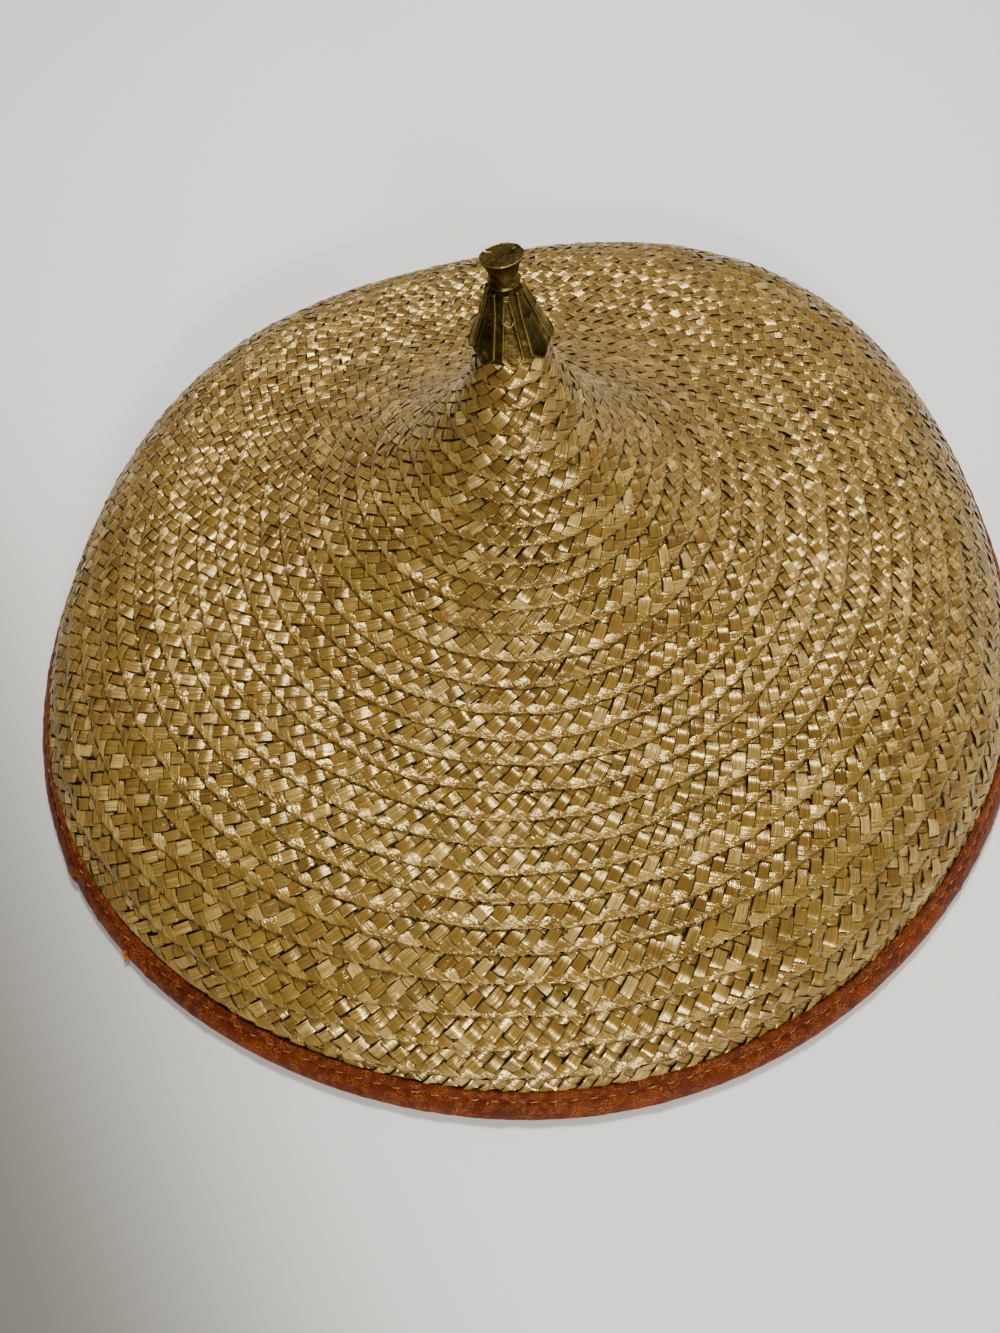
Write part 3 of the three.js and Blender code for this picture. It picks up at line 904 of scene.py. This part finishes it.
def build_binding(binding, material):
    """The leather folded round the rim: its section carried round, with hand-sewn waves.

    The outer face is wrinkled by slanted waves, and bulges a little between stitches.
    """
    section = smooth_loop(binding_section(binding), BINDING_CORNERS)
    corner = np.arange(len(section))[None, :]
    level = section[None, :, 1]
    turn = np.linspace(0, 2 * np.pi, binding.stations, endpoint=False)[:, None]
    length = turn * RIM_RADIUS
    sway = seam_sway(binding)(length)
    outer = np.interp(corner / 2, (1.5, 3, 9, 10.5), (0, 1, 1, 0))
    slanted = waves(binding.seed + 1, 18, 28, 3.5, binding.wrinkle, RIM_LOOP)
    place = corner * 0.9
    seam = np.exp(-((level - section[10, 1]) / SEAM_SPREAD) ** 2)
    bulge = SEAM_BULGE * seam * np.cos(stitch_count(binding) * turn)
    relief = slanted(length + place) + slanted(2 * length - 1.3 * place) + bulge
    relief = relief + join_relief(turn, level)
    radius = section[None, :, 0] + relief * outer
    top = np.clip((level - 6) / 5, 0, 1)
    height = np.maximum(level, 0) + top * sway
    points = on_hat(turn, radius, height).reshape(-1, 3)
    faces = grid_faces(binding.stations, len(section), True, True)[:, ::-1]
    # Painted shade in the folds beside the join, and a share that darkens the leather towards the sole
    fold_shade = np.clip(join_folds(turn, level), 0, 1) * outer
    low = np.broadcast_to(np.clip(1.3 - level / 2.6, 0, 1), fold_shade.shape)
    darkening = np.stack([fold_shade, low, np.zeros_like(low), np.ones_like(low)], axis=-1).reshape(-1, 4)
    piece = mesh_piece("leather_binding", points, faces, colours={"Darkening": darkening})
    finish_piece(piece, material, "leather", "rim_binding")


def many(faces, copies, points_each):
    """The faces of one small shape, repeated for a row of copies."""
    shift = (np.arange(copies) * points_each)[:, None, None]
    return (faces[None] + shift).reshape(-1, faces.shape[1])


def rod_faces(copies, rings, corners):
    """Faces of closed rods: their walls, and a many-cornered cap at each end."""
    wall = grid_faces(rings, corners, wrap_columns=True)
    first = np.arange(corners)[None]
    last = np.arange(corners)[None, ::-1] + (rings - 1) * corners
    caps = np.concatenate([first, last])
    return many(wall, copies, rings * corners), many(caps, copies, rings * corners)


def build_stitches(binding, material):
    """The thread that shows along the seam: short arcs, a little slanted, end to end."""
    count = stitch_count(binding)
    random = np.random.default_rng(binding.seed + 3)
    reach = np.linspace(-1, 1, STITCH_RINGS)[None, :, None]
    round_turn = np.linspace(0, 2 * np.pi, STITCH_CORNERS, endpoint=False)
    size = binding.thread * (1 - 0.55 * np.abs(reach) ** 3)
    long, slant, proud = 1 + 0.25 * (random.random((3, count, 1, 1)) - 0.5)
    middle = 2 * np.pi * np.arange(count)[:, None, None] / count
    half = 0.5 * binding.stitch_length * long
    turn = middle + (half * reach) / RIM_RADIUS
    down = SEAM_DOWN - 0.22 * reach * slant
    down = down + size * np.cos(round_turn)
    out = 0.22 * proud - 0.5 * reach ** 4 + size * np.sin(round_turn)
    radius, height = off_straw_edge(down, out)
    sway = seam_sway(binding)(middle * RIM_RADIUS)
    points = on_hat(turn, radius, height + 0.6 * sway)
    faces = rod_faces(count, STITCH_RINGS, STITCH_CORNERS)
    piece = mesh_piece("binding_stitches", points.reshape(-1, 3), faces)
    finish_piece(piece, material, "leather", "rim_binding")


def off_straw_edge(down, out):
    """Radius and height of a place on the leather: down from its top edge, out of its seam."""
    edge = STRAW_CURVE[-1]
    along = STRAW_DOWN[-1]
    off = LEATHER + BINDING_GAP - ROW_STEP - SEAM_DEPTH + out
    radius = edge[0] + (down - BINDING_HEIGHT) * along[0] - off * along[1]
    height = edge[1] + (down - BINDING_HEIGHT) * along[1] + off * along[0]
    return radius, height


def build_tuft(binding, material):
    """A frayed end of leather: thin curved fibres that fan out and down from the lower edge."""
    random = np.random.default_rng(binding.seed + 4)
    thick, long, start, fan, bold, high = random.random((6, TUFT_FIBRES, 1, 1))
    reach = np.linspace(0, 1, TUFT_RINGS)[None, :, None]
    round_turn = np.linspace(0, 2 * np.pi, TUFT_CORNERS, endpoint=False)[None, None, :]
    size = TUFT_THICKNESS * (1 - 0.7 * reach) * (0.6 + 0.8 * thick)
    length = 1.4 + 2.6 * long
    side = 2.2 * (start - 0.5) + 1.8 * (fan - 0.5) * reach
    out = -0.5 + length * reach * (0.35 + 0.5 * bold)
    height = 4.4 * high + 1.4 - length * 0.6 * reach ** 1.5
    aslant = 0.7 * size * np.sin(round_turn)
    radius = RIM_RADIUS + 0.4 - 0.12 * height + out + aslant
    height = np.maximum(height + aslant, 0.02 * (2 + np.sin(round_turn)))
    turn = TUFT_TURN + (side - size * np.cos(round_turn)) / RIM_RADIUS
    points = on_hat(turn, radius, height)
    faces = rod_faces(TUFT_FIBRES, TUFT_RINGS, TUFT_CORNERS)
    piece = mesh_piece("leather_tuft", points.reshape(-1, 3), faces)
    finish_piece(piece, material, "leather", "rim_binding")


# Brass finial

# Sections of the lathe-turned core from the top's middle to the foot: radius, height
FINIAL_CORE = np.array([
    (6.3, 35.2), (6.55, 35.4), (6.75, 35.35), (6.8, 35.1), (6.75, 34.75), (6.4, 34.25),
    (5.7, 33.2), (5.1, 32.0), (4.7, 30.8), (4.45, 29.4), (4.38, 28.3), (4.5, 27.7),
    (4.8, 27.5), (4.9, 27.2), (4.75, 26.95), (4.6, 26.7), (5.2, 24.2), (6.3, 21.0),
    (7.7, 17.6), (9.1, 14.2), (10.4, 11.2), (11.7, 8.0), (12.95, 5.0), (12.1, 4.9),
    (11.6, 6.2), (9.6, 9.0), (5.2, 10.4), (1.7, 10.6), (1.7, 18.0),
])
CORE_OUTER = FINIAL_CORE[22:14:-1]  # the bell's outer face, foot first
PETALS = 8
PETAL_TURN = np.radians(-86)
PETAL_SINK = 0.25
# Points across half a petal and down from its top, closer together at the raised border
HALF_ACROSS = np.array([0.15, 0.4, 0.62, 0.72, 0.8, 0.88, 0.94, 1])
END_DOWN = np.array([0, 0.012, 0.025, 0.045, 0.065, 0.09])
# Rise of the border at a petal's edge, and where the panel inside it starts to sink
BORDER_RISE, PANEL_START, PANEL_EASE, PANEL_DEPTH = 0.3, 0.75, 0.4, 0.42
# Top, shoulder and point of a petal above the foot, its widths and how far it stands out
LONG_PETAL = (25.2, 6.6, 2.6, 2.2, 8.3, 0.6)
SHORT_PETAL = (25.6, 18.2, 15.8, 2.2, 5.3, 0.95)
TOP_PETAL = (26.4, 24.6, 23.4, 2.4, 3.0, 1.15)
TOP_LEVEL = 34.9  # points above this belong to the disc's upper face
# Scratch in the top: its middle, direction and the spread along and across it
NICK_X, NICK_Y = -4.3, 2.9
NICK_TURN = np.radians(-22)
NICK_LONG, NICK_WIDE, NICK_DEPTH = 1.1, 0.2, 0.25
# The disc is bent on the neck: where the bend starts and ends, its slopes and its shift back
BEND_FOOT, BEND_TOP = 28.8, 34.6
BEND_BACK, BEND_ASIDE, BEND_SHIFT = 0.19, 0.05, 1.2


def fine_line(points, step):
    """Points added along a line of sections so that none lie further apart than a step."""
    pieces = [points[:1]]
    for first, second in zip(points[:-1], points[1:]):
        count = int(np.ceil(np.linalg.norm(second - first) / step))
        share = np.linspace(0, 1, count + 1)[1:, None]
        pieces.append(first + share * (second - first))
    return np.concatenate(pieces)


def build_finial_core(finial, material):
    """The core: its section turned round the axis, with a nicked and slightly dished top."""
    top = np.array([(0.4, 35.18), (6.2, 35.18)])
    end = np.array([(0.3, 18.0)])
    section = fine_line(np.concatenate([top, FINIAL_CORE, end]), 0.45)
    turn = np.linspace(0, 2 * np.pi, finial.core_segments, endpoint=False)[None, :]
    radius, height = section[:, :1], section[:, 1:]
    x, y = radius * np.cos(turn) - NICK_X, radius * np.sin(turn) - NICK_Y
    along = x * np.cos(NICK_TURN) + y * np.sin(NICK_TURN)
    aside = y * np.cos(NICK_TURN) - x * np.sin(NICK_TURN)
    scratch = np.exp(-(along / NICK_LONG) ** 2 - (aside / NICK_WIDE) ** 2)
    on_top = height > TOP_LEVEL
    nick = NICK_DEPTH * scratch * on_top
    uneven = waves(finial.seed, 10, 7, 1.8, 0.012)
    hollow = (uneven(2 * x + y) + uneven(1.3 * y - x)) * on_top
    dents = waves(finial.seed + 1, 6, 1.0, 0.2, 0.12, 6.0)
    worn = dents(turn / np.pi * 3 + 0.2 * height) * np.clip((radius - 3) / 3, 0, 1) * (height > 5.5)
    z = height - nick + hollow
    r = radius + 0.4 * worn
    ring = np.stack([r * np.cos(turn), r * np.sin(turn), z], axis=-1).reshape(-1, 3)
    points = np.concatenate([ring, [(0, 0, top[0, 1])], [(0, 0, end[0, 1])]])
    scraped = np.clip(1.3 * scratch * on_top, 0, 1).reshape(-1)
    scraped = np.concatenate([scraped, [0, 0]])
    blank = np.zeros_like(scraped)
    scraped = np.stack([scraped, blank, blank, np.ones_like(scraped)], axis=-1)
    points = bent_top(points)
    wall = grid_faces(len(section), finial.core_segments, wrap_columns=True)
    step = np.arange(finial.core_segments)
    after = (step + 1) % finial.core_segments
    last = (len(section) - 1) * finial.core_segments
    top_fan = np.stack([step, after, np.full_like(step, len(ring))], axis=-1)
    end_fan = np.stack([last + after, last + step, np.full_like(step, len(ring) + 1)], axis=-1)
    faces = (wall, top_fan, end_fan)
    piece = mesh_piece("finial_core", in_finial(points), faces, colours={"Scraped": scraped})
    finish_piece(piece, material, "brass", "brass_finial")


def bent_top(points):
    """The finial's points with its disc bent back on the neck: an eased shear and shift."""
    outside = np.hypot(points[:, 0], points[:, 1]) > 3.0
    share = np.clip((points[:, 2] - BEND_FOOT) / (BEND_TOP - BEND_FOOT), 0, 1)
    share = share * share * (3 - 2 * share) * (outside | (points[:, 2] > BEND_TOP))
    lifted = points[:, 2] + share * (BEND_ASIDE * points[:, 0] - BEND_BACK * points[:, 1])
    back = points[:, 1] + share * BEND_SHIFT
    return np.stack([points[:, 0], back, lifted], axis=-1)


def petal_points(shape, turn, across, down):
    """One petal's skin, front then back: a plate on the bell with a raised border.

    The border stands out fully, and the panel inside it is sunk by half a millimetre.
    Right at the plate's edge the skin turns down to the bell.
    """
    top, shoulder, point, top_width, low_width, relief = shape
    lowest = point + (shoulder - point) * np.abs(across)
    height = top + (lowest - top) * down
    width = top_width + (low_width - top_width) * down
    side = (1 - np.abs(across)) * width / 2
    end = np.minimum(1 - down, down) * (top - lowest) * 0.8
    border = np.minimum(side, end)
    rise = np.clip(border / BORDER_RISE, 0, 1)
    sunk = np.clip((border - PANEL_START) / PANEL_EASE, 0, 1)
    sunk = sunk * sunk * (3 - 2 * sunk)
    core = np.interp(height, CORE_OUTER[:, 1], CORE_OUTER[:, 0])
    flare = 0.3 * np.clip((8 - height) / 5, 0, 1)
    front = core + 0.1 + (relief + flare) * (0.25 + 0.75 * rise) - PANEL_DEPTH * sunk
    back = core - PETAL_SINK
    angle = turn + across * width / 2 / (core + relief)
    skins = [
        np.stack([radius * np.cos(angle), radius * np.sin(angle), height], axis=-1)
        for radius in (front, back)
    ]
    return np.concatenate([skins[0], skins[1][:, ::-1]], axis=1)


def build_petals(finial, material):
    """Three rings of eight petals cast on the bell, each a closed plate with a raised border."""
    across = np.concatenate([-HALF_ACROSS[::-1], HALF_ACROSS])
    down = np.concatenate([END_DOWN, np.linspace(0.14, 0.86, 10), 1 - END_DOWN[::-1]])
    rows, columns = len(down), 2 * len(across)
    turns = PETAL_TURN + np.arange(PETALS) * 2 * np.pi / PETALS
    petals = [
        petal_points(shape, turn, across[None, :], down[:, None])
        for shape in (LONG_PETAL, SHORT_PETAL, TOP_PETAL) for turn in turns
    ]
    points = np.concatenate([petal.reshape(-1, 3) for petal in petals])
    wall = grid_faces(rows, columns, wrap_columns=True)
    near = np.arange(len(across) - 1)
    far = columns - 1 - near
    cap = np.stack([near, near + 1, far - 1, far], axis=-1)
    faces = np.concatenate([wall, cap, cap[:, ::-1] + (rows - 1) * columns])
    faces = many(faces, len(petals), rows * columns)
    piece = mesh_piece("finial_petals", in_finial(points), faces)
    finish_piece(piece, material, "brass", "brass_finial")


def in_finial(points):
    """Points in the finial's own millimetres, tilted and set on the leaning tip, in metres."""
    axis = np.array([*FINIAL_TILT, 1.0])
    axis = axis / np.linalg.norm(axis)
    from_up = np.cross((0, 0, 1), axis)
    skew = np.array([
        [0, -from_up[2], from_up[1]],
        [from_up[2], 0, -from_up[0]],
        [-from_up[1], from_up[0], 0],
    ])
    tilt = np.eye(3) + skew + skew @ skew / (1 + axis[2])
    pivot = hand_made(np.array([0.0, 0.0, FINIAL_FOOT + FINIAL_PIVOT]))
    placed = (points - (0, 0, FINIAL_PIVOT)) @ tilt.T + pivot
    placed[..., :2] -= FOOTPRINT_MIDDLE
    return placed * MM


# Stage


# Lamps: name, place, what it is aimed at and the size of its face, in metres
LAMPS = (
    ("Window", (1.25, 0.45, 0.8), (0, 0, 0.03), (0.35, 0.2)),
    ("Ceiling", (0.0, 0.5, 1.05), (0, 0.05, 0), (0.28, 0.18)),
    ("Front", (0.2, -1.4, 0.62), (0, -0.1, 0.03), (0.4, 0.16)),
)
LAMP_COLOUR = (1.0, 0.94, 0.82)
FLOOR_REACH = 4.0
# Painted shadow over the floor's left front corner: slant of its border, where it ends and starts, and its
# easing
SHADOW_SLANT, SHADOW_POWER = 0.65, 1.3
SHADOW_PLACES = (-0.355, -0.17)


def set_in_room(name, data, right, up, back, place):
    """A camera or lamp, turned to its three axes and put at its place."""
    thing = bpy.data.objects.new(name, data)
    matrix = np.eye(4)
    matrix[:3] = np.stack([right, up, back, place], axis=1)
    thing.matrix_world = Matrix(matrix.tolist())
    bpy.context.scene.collection.objects.link(thing)
    return thing


def build_camera(stage):
    """A camera at the photograph's angle, from its turn, pitch and roll."""
    yaw, pitch, roll = stage.turn, stage.pitch, stage.roll
    ahead = np.array([np.sin(yaw) * np.cos(pitch), np.cos(yaw) * np.cos(pitch), -np.sin(pitch)])
    right = np.array([np.cos(yaw), -np.sin(yaw), 0.0])
    below = np.cross(ahead, right)
    rolled = np.cos(roll) * right + np.sin(roll) * below
    below = np.cos(roll) * below - np.sin(roll) * right
    place = np.array([0.0, -stage.distance, stage.height])
    place[:2] -= FOOTPRINT_MIDDLE * MM
    data = bpy.data.cameras.new("Camera")
    data.lens = stage.lens
    data.sensor_width = 36.0
    data.clip_start = 0.01
    bpy.context.scene.camera = set_in_room("Camera", data, rolled, -below, -ahead, place)


def build_lamp(name, place, target, size, power):
    """A soft rectangular lamp aimed at a point."""
    data = bpy.data.lights.new(name, "AREA")
    data.shape = "RECTANGLE"
    data.size, data.size_y = size
    data.energy = power
    data.color = LAMP_COLOUR
    ahead = np.array(target, float) - np.array(place, float)
    back = -ahead / np.linalg.norm(ahead)
    right = np.cross((0, 0, 1), back)
    right = right / np.linalg.norm(right)
    set_in_room(name, data, right, np.cross(back, right), back, place)


def build_lamps(stage):
    """All the lamps, each with its power from the settings."""
    for lamp, power in zip(LAMPS, (stage.key_power, stage.top_power, stage.front_power)):
        build_lamp(*lamp, power)


def floor_material(stage):
    """A plain pale floor, with a painted shadow over its left front corner."""
    material, tree, shader = new_material("Pale floor")
    parts = add_node(tree, "ShaderNodeSeparateXYZ", {0: object_place(tree)})
    towards = maths(tree, "MULTIPLY_ADD", parts.outputs[1], SHADOW_SLANT, parts.outputs[0])
    share = maths(tree, "POWER", smooth_step(tree, towards, *SHADOW_PLACES), SHADOW_POWER)
    # the floor's colour is mixed towards the colour of its painted shadow
    colour = mix(tree, share, stage.floor_shadow, stage.floor)
    tree.links.new(colour, shader.inputs["Base Color"])
    shader.inputs["Roughness"].default_value = 0.7
    return material


def build_floor(stage):
    """The floor: one flat square round the hat."""
    corners = FLOOR_REACH * np.array([(-1, -1, 0), (1, -1, 0), (1, 1, 0), (-1, 1, 0)])
    piece = mesh_piece("floor", corners, np.array([[0, 1, 2, 3]]))
    piece.data.materials.append(floor_material(stage))


def build_world(stage):
    """Even light from all round."""
    world = bpy.data.worlds.new("Studio")
    world.use_nodes = True
    background = world.node_tree.nodes["Background"]
    background.inputs["Color"].default_value = (*stage.sky, 1)
    background.inputs["Strength"].default_value = stage.sky_strength
    bpy.context.scene.world = world


# Settings


def number(name, description, default, **more):
    """A size, or another number that may be a fraction."""
    return bpy.props.FloatProperty(name=name, description=description, default=default, **more)


def whole(name, description, default):
    """A whole number."""
    return bpy.props.IntProperty(name=name, description=description, default=default)


def colour_setting(name, description, default):
    """A colour."""
    return bpy.props.FloatVectorProperty(
        name=name, description=description, default=default, subtype="COLOR", size=3, min=0, max=1)


class StrawPlaitSettings(bpy.types.PropertyGroup):
    """Sizes and tones of the straw plait"""
    width: number("Plait width", "Width of the flat plait, millimetres", 21.5)
    strand_spacing: number("Strand spacing", "Step from strand to strand along the plait, millimetres", 6.2)
    strand_width: number("Strand width", "Width of one split straw, millimetres", 4.75)
    straw_length: number("Straw length", "Length of plait that one straw lasts for, millimetres", 190)
    swing: number("Swing", "How far a strand on top swings along the plait, millimetres", 0.55)
    lift: number("Lift", "How far a strand's middle goes over or under, millimetres", 0.38)
    bulge: number("Bulge", "Crown of a straw's outer face, millimetres", 0.26)
    shoulder: number("Shoulder", "Where the straw's full face turns down, as a share", 0.84)
    ridge: number("Ridge", "Crown of the falling stretches against the others", 0.35)
    fullness_range: number("Fullness range", "How much the straws' crowns differ", 0.6)
    tilt_range: number("Tilt range", "How much the straws tip sideways, millimetres", 0.6)
    slope_range: number("Slope range", "How much the straws tip lengthwise, millimetres", 0.5)
    width_range: number("Width range", "How much the straws' widths differ", 0.36)
    thin: number("Hidden face", "Depth of a straw's inner face, millimetres", 0.06)
    first_depth: number("First depth", "Depth of the plait at a row's lower edge, millimetres", 0.5)
    row_depth: number("Row depth", "How much deeper the plait lies one row further in, millimetres", 0.9)
    unevenness: number("Unevenness", "How unevenly the strands are spaced, millimetres", 1.1)
    edge_wander: number("Edge wander", "How far the rows' edges wander, millimetres", 0.5)
    height_wander: number("Height wander", "How much the plait rises and falls, millimetres", 0.15)
    rounding: number("Rounding", "How far a straw's skin turns down at its borders, millimetres", 0.16)
    arch: number("Arch", "How high the skin arches along a stretch on top, millimetres", 0.26)
    lean: number("Lean", "How much the skin leans sideways, millimetres", 0.5)
    tip: number("Tip", "How much the skin tips lengthwise, millimetres", 0.5)
    fibre: number("Fibre", "Depth of the fine fibres, millimetres", 0.22)
    crumple: number("Crumple", "Depth of the folds at the plait's edges, millimetres", 1.2)
    streak: number("Streak", "How much the fibres change the tone", 0.95, subtype="FACTOR")
    gap_shade: number("Gap shade", "Tone of the straw deep between the others", 0.24, subtype="FACTOR")
    seed: whole("Seed", "Start of the random numbers", 11)
    brown: colour_setting("Brown", "Darkest straw", (0.049, 0.0218, 0.0034))
    tan: colour_setting("Tan", "Tan straw", (0.098, 0.0515, 0.0076))
    gold: colour_setting("Gold", "Golden straw", (0.147, 0.0865, 0.0138))
    pale: colour_setting("Pale", "Palest straw", (0.40, 0.287, 0.095))
    green: colour_setting("Green", "Greenish straw", (0.104, 0.0765, 0.0138))


class BindingSettings(bpy.types.PropertyGroup):
    """Sizes and colours of the leather and its seam"""
    roll: number("Roll", "How far the roll below the seam stands out, millimetres", 0.3)
    wrinkle: number("Wrinkle", "Size of the wrinkles in the outer face, millimetres", 0.12)
    stations: whole("Stations", "Sections round the rim", 1100)
    stitch_step: number("Stitch step", "From stitch to stitch, millimetres", 6.5)
    stitch_length: number("Stitch length", "Part of a stitch that shows, millimetres", 3.5)
    thread: number("Thread", "Half the thread's thickness, millimetres", 0.2)
    seed: whole("Seed", "Start of the random numbers", 5)
    colour: colour_setting("Leather", "Main colour", (0.052, 0.0062, 0.0001))
    dark: colour_setting("Dark leather", "Darker patches", (0.030, 0.0036, 0.0002))
    rubbed: colour_setting("Rubbed leather", "Rubbed patches", (0.098, 0.017, 0.0008))
    scratch: colour_setting("Scratches", "Fine pale scratches", (0.30, 0.088, 0.018))
    # Colour of the painted shade in the folds beside the join
    crease: colour_setting("Fold shade", "Painted shade in the folds", (0.008, 0.0016, 0.0004))
    thread_colour: colour_setting("Thread", "Thread of the seam", (0.42, 0.17, 0.045))
    frayed: colour_setting("Frayed leather", "Torn fibres", (0.42, 0.12, 0.008))


class FinialSettings(bpy.types.PropertyGroup):
    """Colours and fineness of the finial"""
    core_segments: whole("Core segments", "Sides of the turned core", 150)
    seed: whole("Seed", "Start of the random numbers", 8)
    colour: colour_setting("Brass", "Main colour", (0.066, 0.047, 0.0115))
    dark: colour_setting("Patina", "Darkest patina", (0.020, 0.0140, 0.0036))
    bright: colour_setting("Rubbed brass", "Rubbed edges", (0.34, 0.24, 0.06))
    scrape: colour_setting("Scrape", "Bare metal in the disc's scratch", (0.55, 0.47, 0.28))


class StageSettings(bpy.types.PropertyGroup):
    """Camera, lamps and floor"""
    distance: number("Distance", "Camera distance in front", 0.2580963, unit="LENGTH")
    height: number("Height", "Camera height", 0.3616641, unit="LENGTH")
    turn: number("Turn", "Camera turn", np.radians(-3.7053), subtype="ANGLE")
    pitch: number("Pitch", "Camera pitch down", np.radians(59.7306), subtype="ANGLE")
    roll: number("Roll", "Camera roll", np.radians(3.4881), subtype="ANGLE")
    lens: number("Lens", "Focal length, millimetres", 27.0)
    floor: colour_setting("Floor", "Floor colour", (0.585, 0.60, 0.63))
    # colour of the painted shadow on the floor
    floor_shadow: colour_setting("Floor shadow", "Floor colour in the dim corner", (0.100, 0.099, 0.093))
    sky: colour_setting("Sky", "Colour of the even light", (1.0, 0.98, 0.95))
    sky_strength: number("Sky strength", "Even light", 0.2)
    key_power: number("Key power", "Lamp on the right", 4, unit="POWER")
    top_power: number("Top power", "Lamp overhead", 24, unit="POWER")
    front_power: number("Front power", "Lamp in front", 34, unit="POWER")


# Operators


class STRAWHAT_OT_plait(bpy.types.Operator):
    """Build the plaited straw, sewn in a spiral from the rim to the tip"""
    bl_idname = "straw_hat.plait"
    bl_label = "Straw plait"

    def execute(self, context):
        plait = context.scene.straw_plait
        build_plait(plait, straw_material(plait))
        return {"FINISHED"}


class STRAWHAT_OT_binding(bpy.types.Operator):
    """Build the leather binding round the rim"""
    bl_idname = "straw_hat.binding"
    bl_label = "Leather binding"

    def execute(self, context):
        binding = context.scene.straw_hat_binding
        build_binding(binding, leather_material(binding))
        build_stitches(binding, thread_material(binding))
        build_tuft(binding, frayed_material(binding))
        return {"FINISHED"}


class STRAWHAT_OT_finial(bpy.types.Operator):
    """Build the finial's core and petals, and give them and the pin their brass"""
    bl_idname = "straw_hat.finial"
    bl_label = "Brass finial"

    def execute(self, context):
        finial = context.scene.straw_hat_finial
        brass = brass_material(finial)
        build_finial_core(finial, brass)
        build_petals(finial, brass)
        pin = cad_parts["finial_pin"]
        pin.data.materials.clear()
        pin.data.materials.append(brass)
        return {"FINISHED"}


class STRAWHAT_OT_stage(bpy.types.Operator):
    """Build the camera, the lamps and the floor"""
    bl_idname = "straw_hat.stage"
    bl_label = "Stage"

    def execute(self, context):
        stage = context.scene.straw_hat_stage
        build_camera(stage)
        build_world(stage)
        build_lamps(stage)
        build_floor(stage)
        return {"FINISHED"}


class STRAWHAT_PT_panel(bpy.types.Panel):
    """Lists the hat's pieces"""
    bl_idname = "STRAWHAT_PT_panel"
    bl_label = "Straw Hat"
    bl_space_type = "VIEW_3D"
    bl_region_type = "UI"
    bl_category = "Straw Hat"

    def draw(self, context):
        for operator in OPERATORS:
            self.layout.operator(operator.bl_idname)


SETTINGS = {
    "straw_plait": StrawPlaitSettings,
    "straw_hat_binding": BindingSettings,
    "straw_hat_finial": FinialSettings,
    "straw_hat_stage": StageSettings,
}
OPERATORS = (STRAWHAT_OT_stage, STRAWHAT_OT_plait, STRAWHAT_OT_binding, STRAWHAT_OT_finial)


def register():
    """Register the settings, the operators and the panel."""
    for name, settings in SETTINGS.items():
        bpy.utils.register_class(settings)
        setattr(bpy.types.Scene, name, bpy.props.PointerProperty(type=settings))
    for operator in OPERATORS:
        bpy.utils.register_class(operator)
    bpy.utils.register_class(STRAWHAT_PT_panel)


def unregister():
    """Take everything that was registered out again."""
    bpy.utils.unregister_class(STRAWHAT_PT_panel)
    for operator in reversed(OPERATORS):
        bpy.utils.unregister_class(operator)
    for name, settings in reversed(SETTINGS.items()):
        delattr(bpy.types.Scene, name)
        bpy.utils.unregister_class(settings)


def main():
    """Make every piece in order."""
    register()
    bpy.ops.straw_hat.stage()
    bpy.ops.straw_hat.plait()
    bpy.ops.straw_hat.binding()
    bpy.ops.straw_hat.finial()


if __name__ == "__main__":
    main()
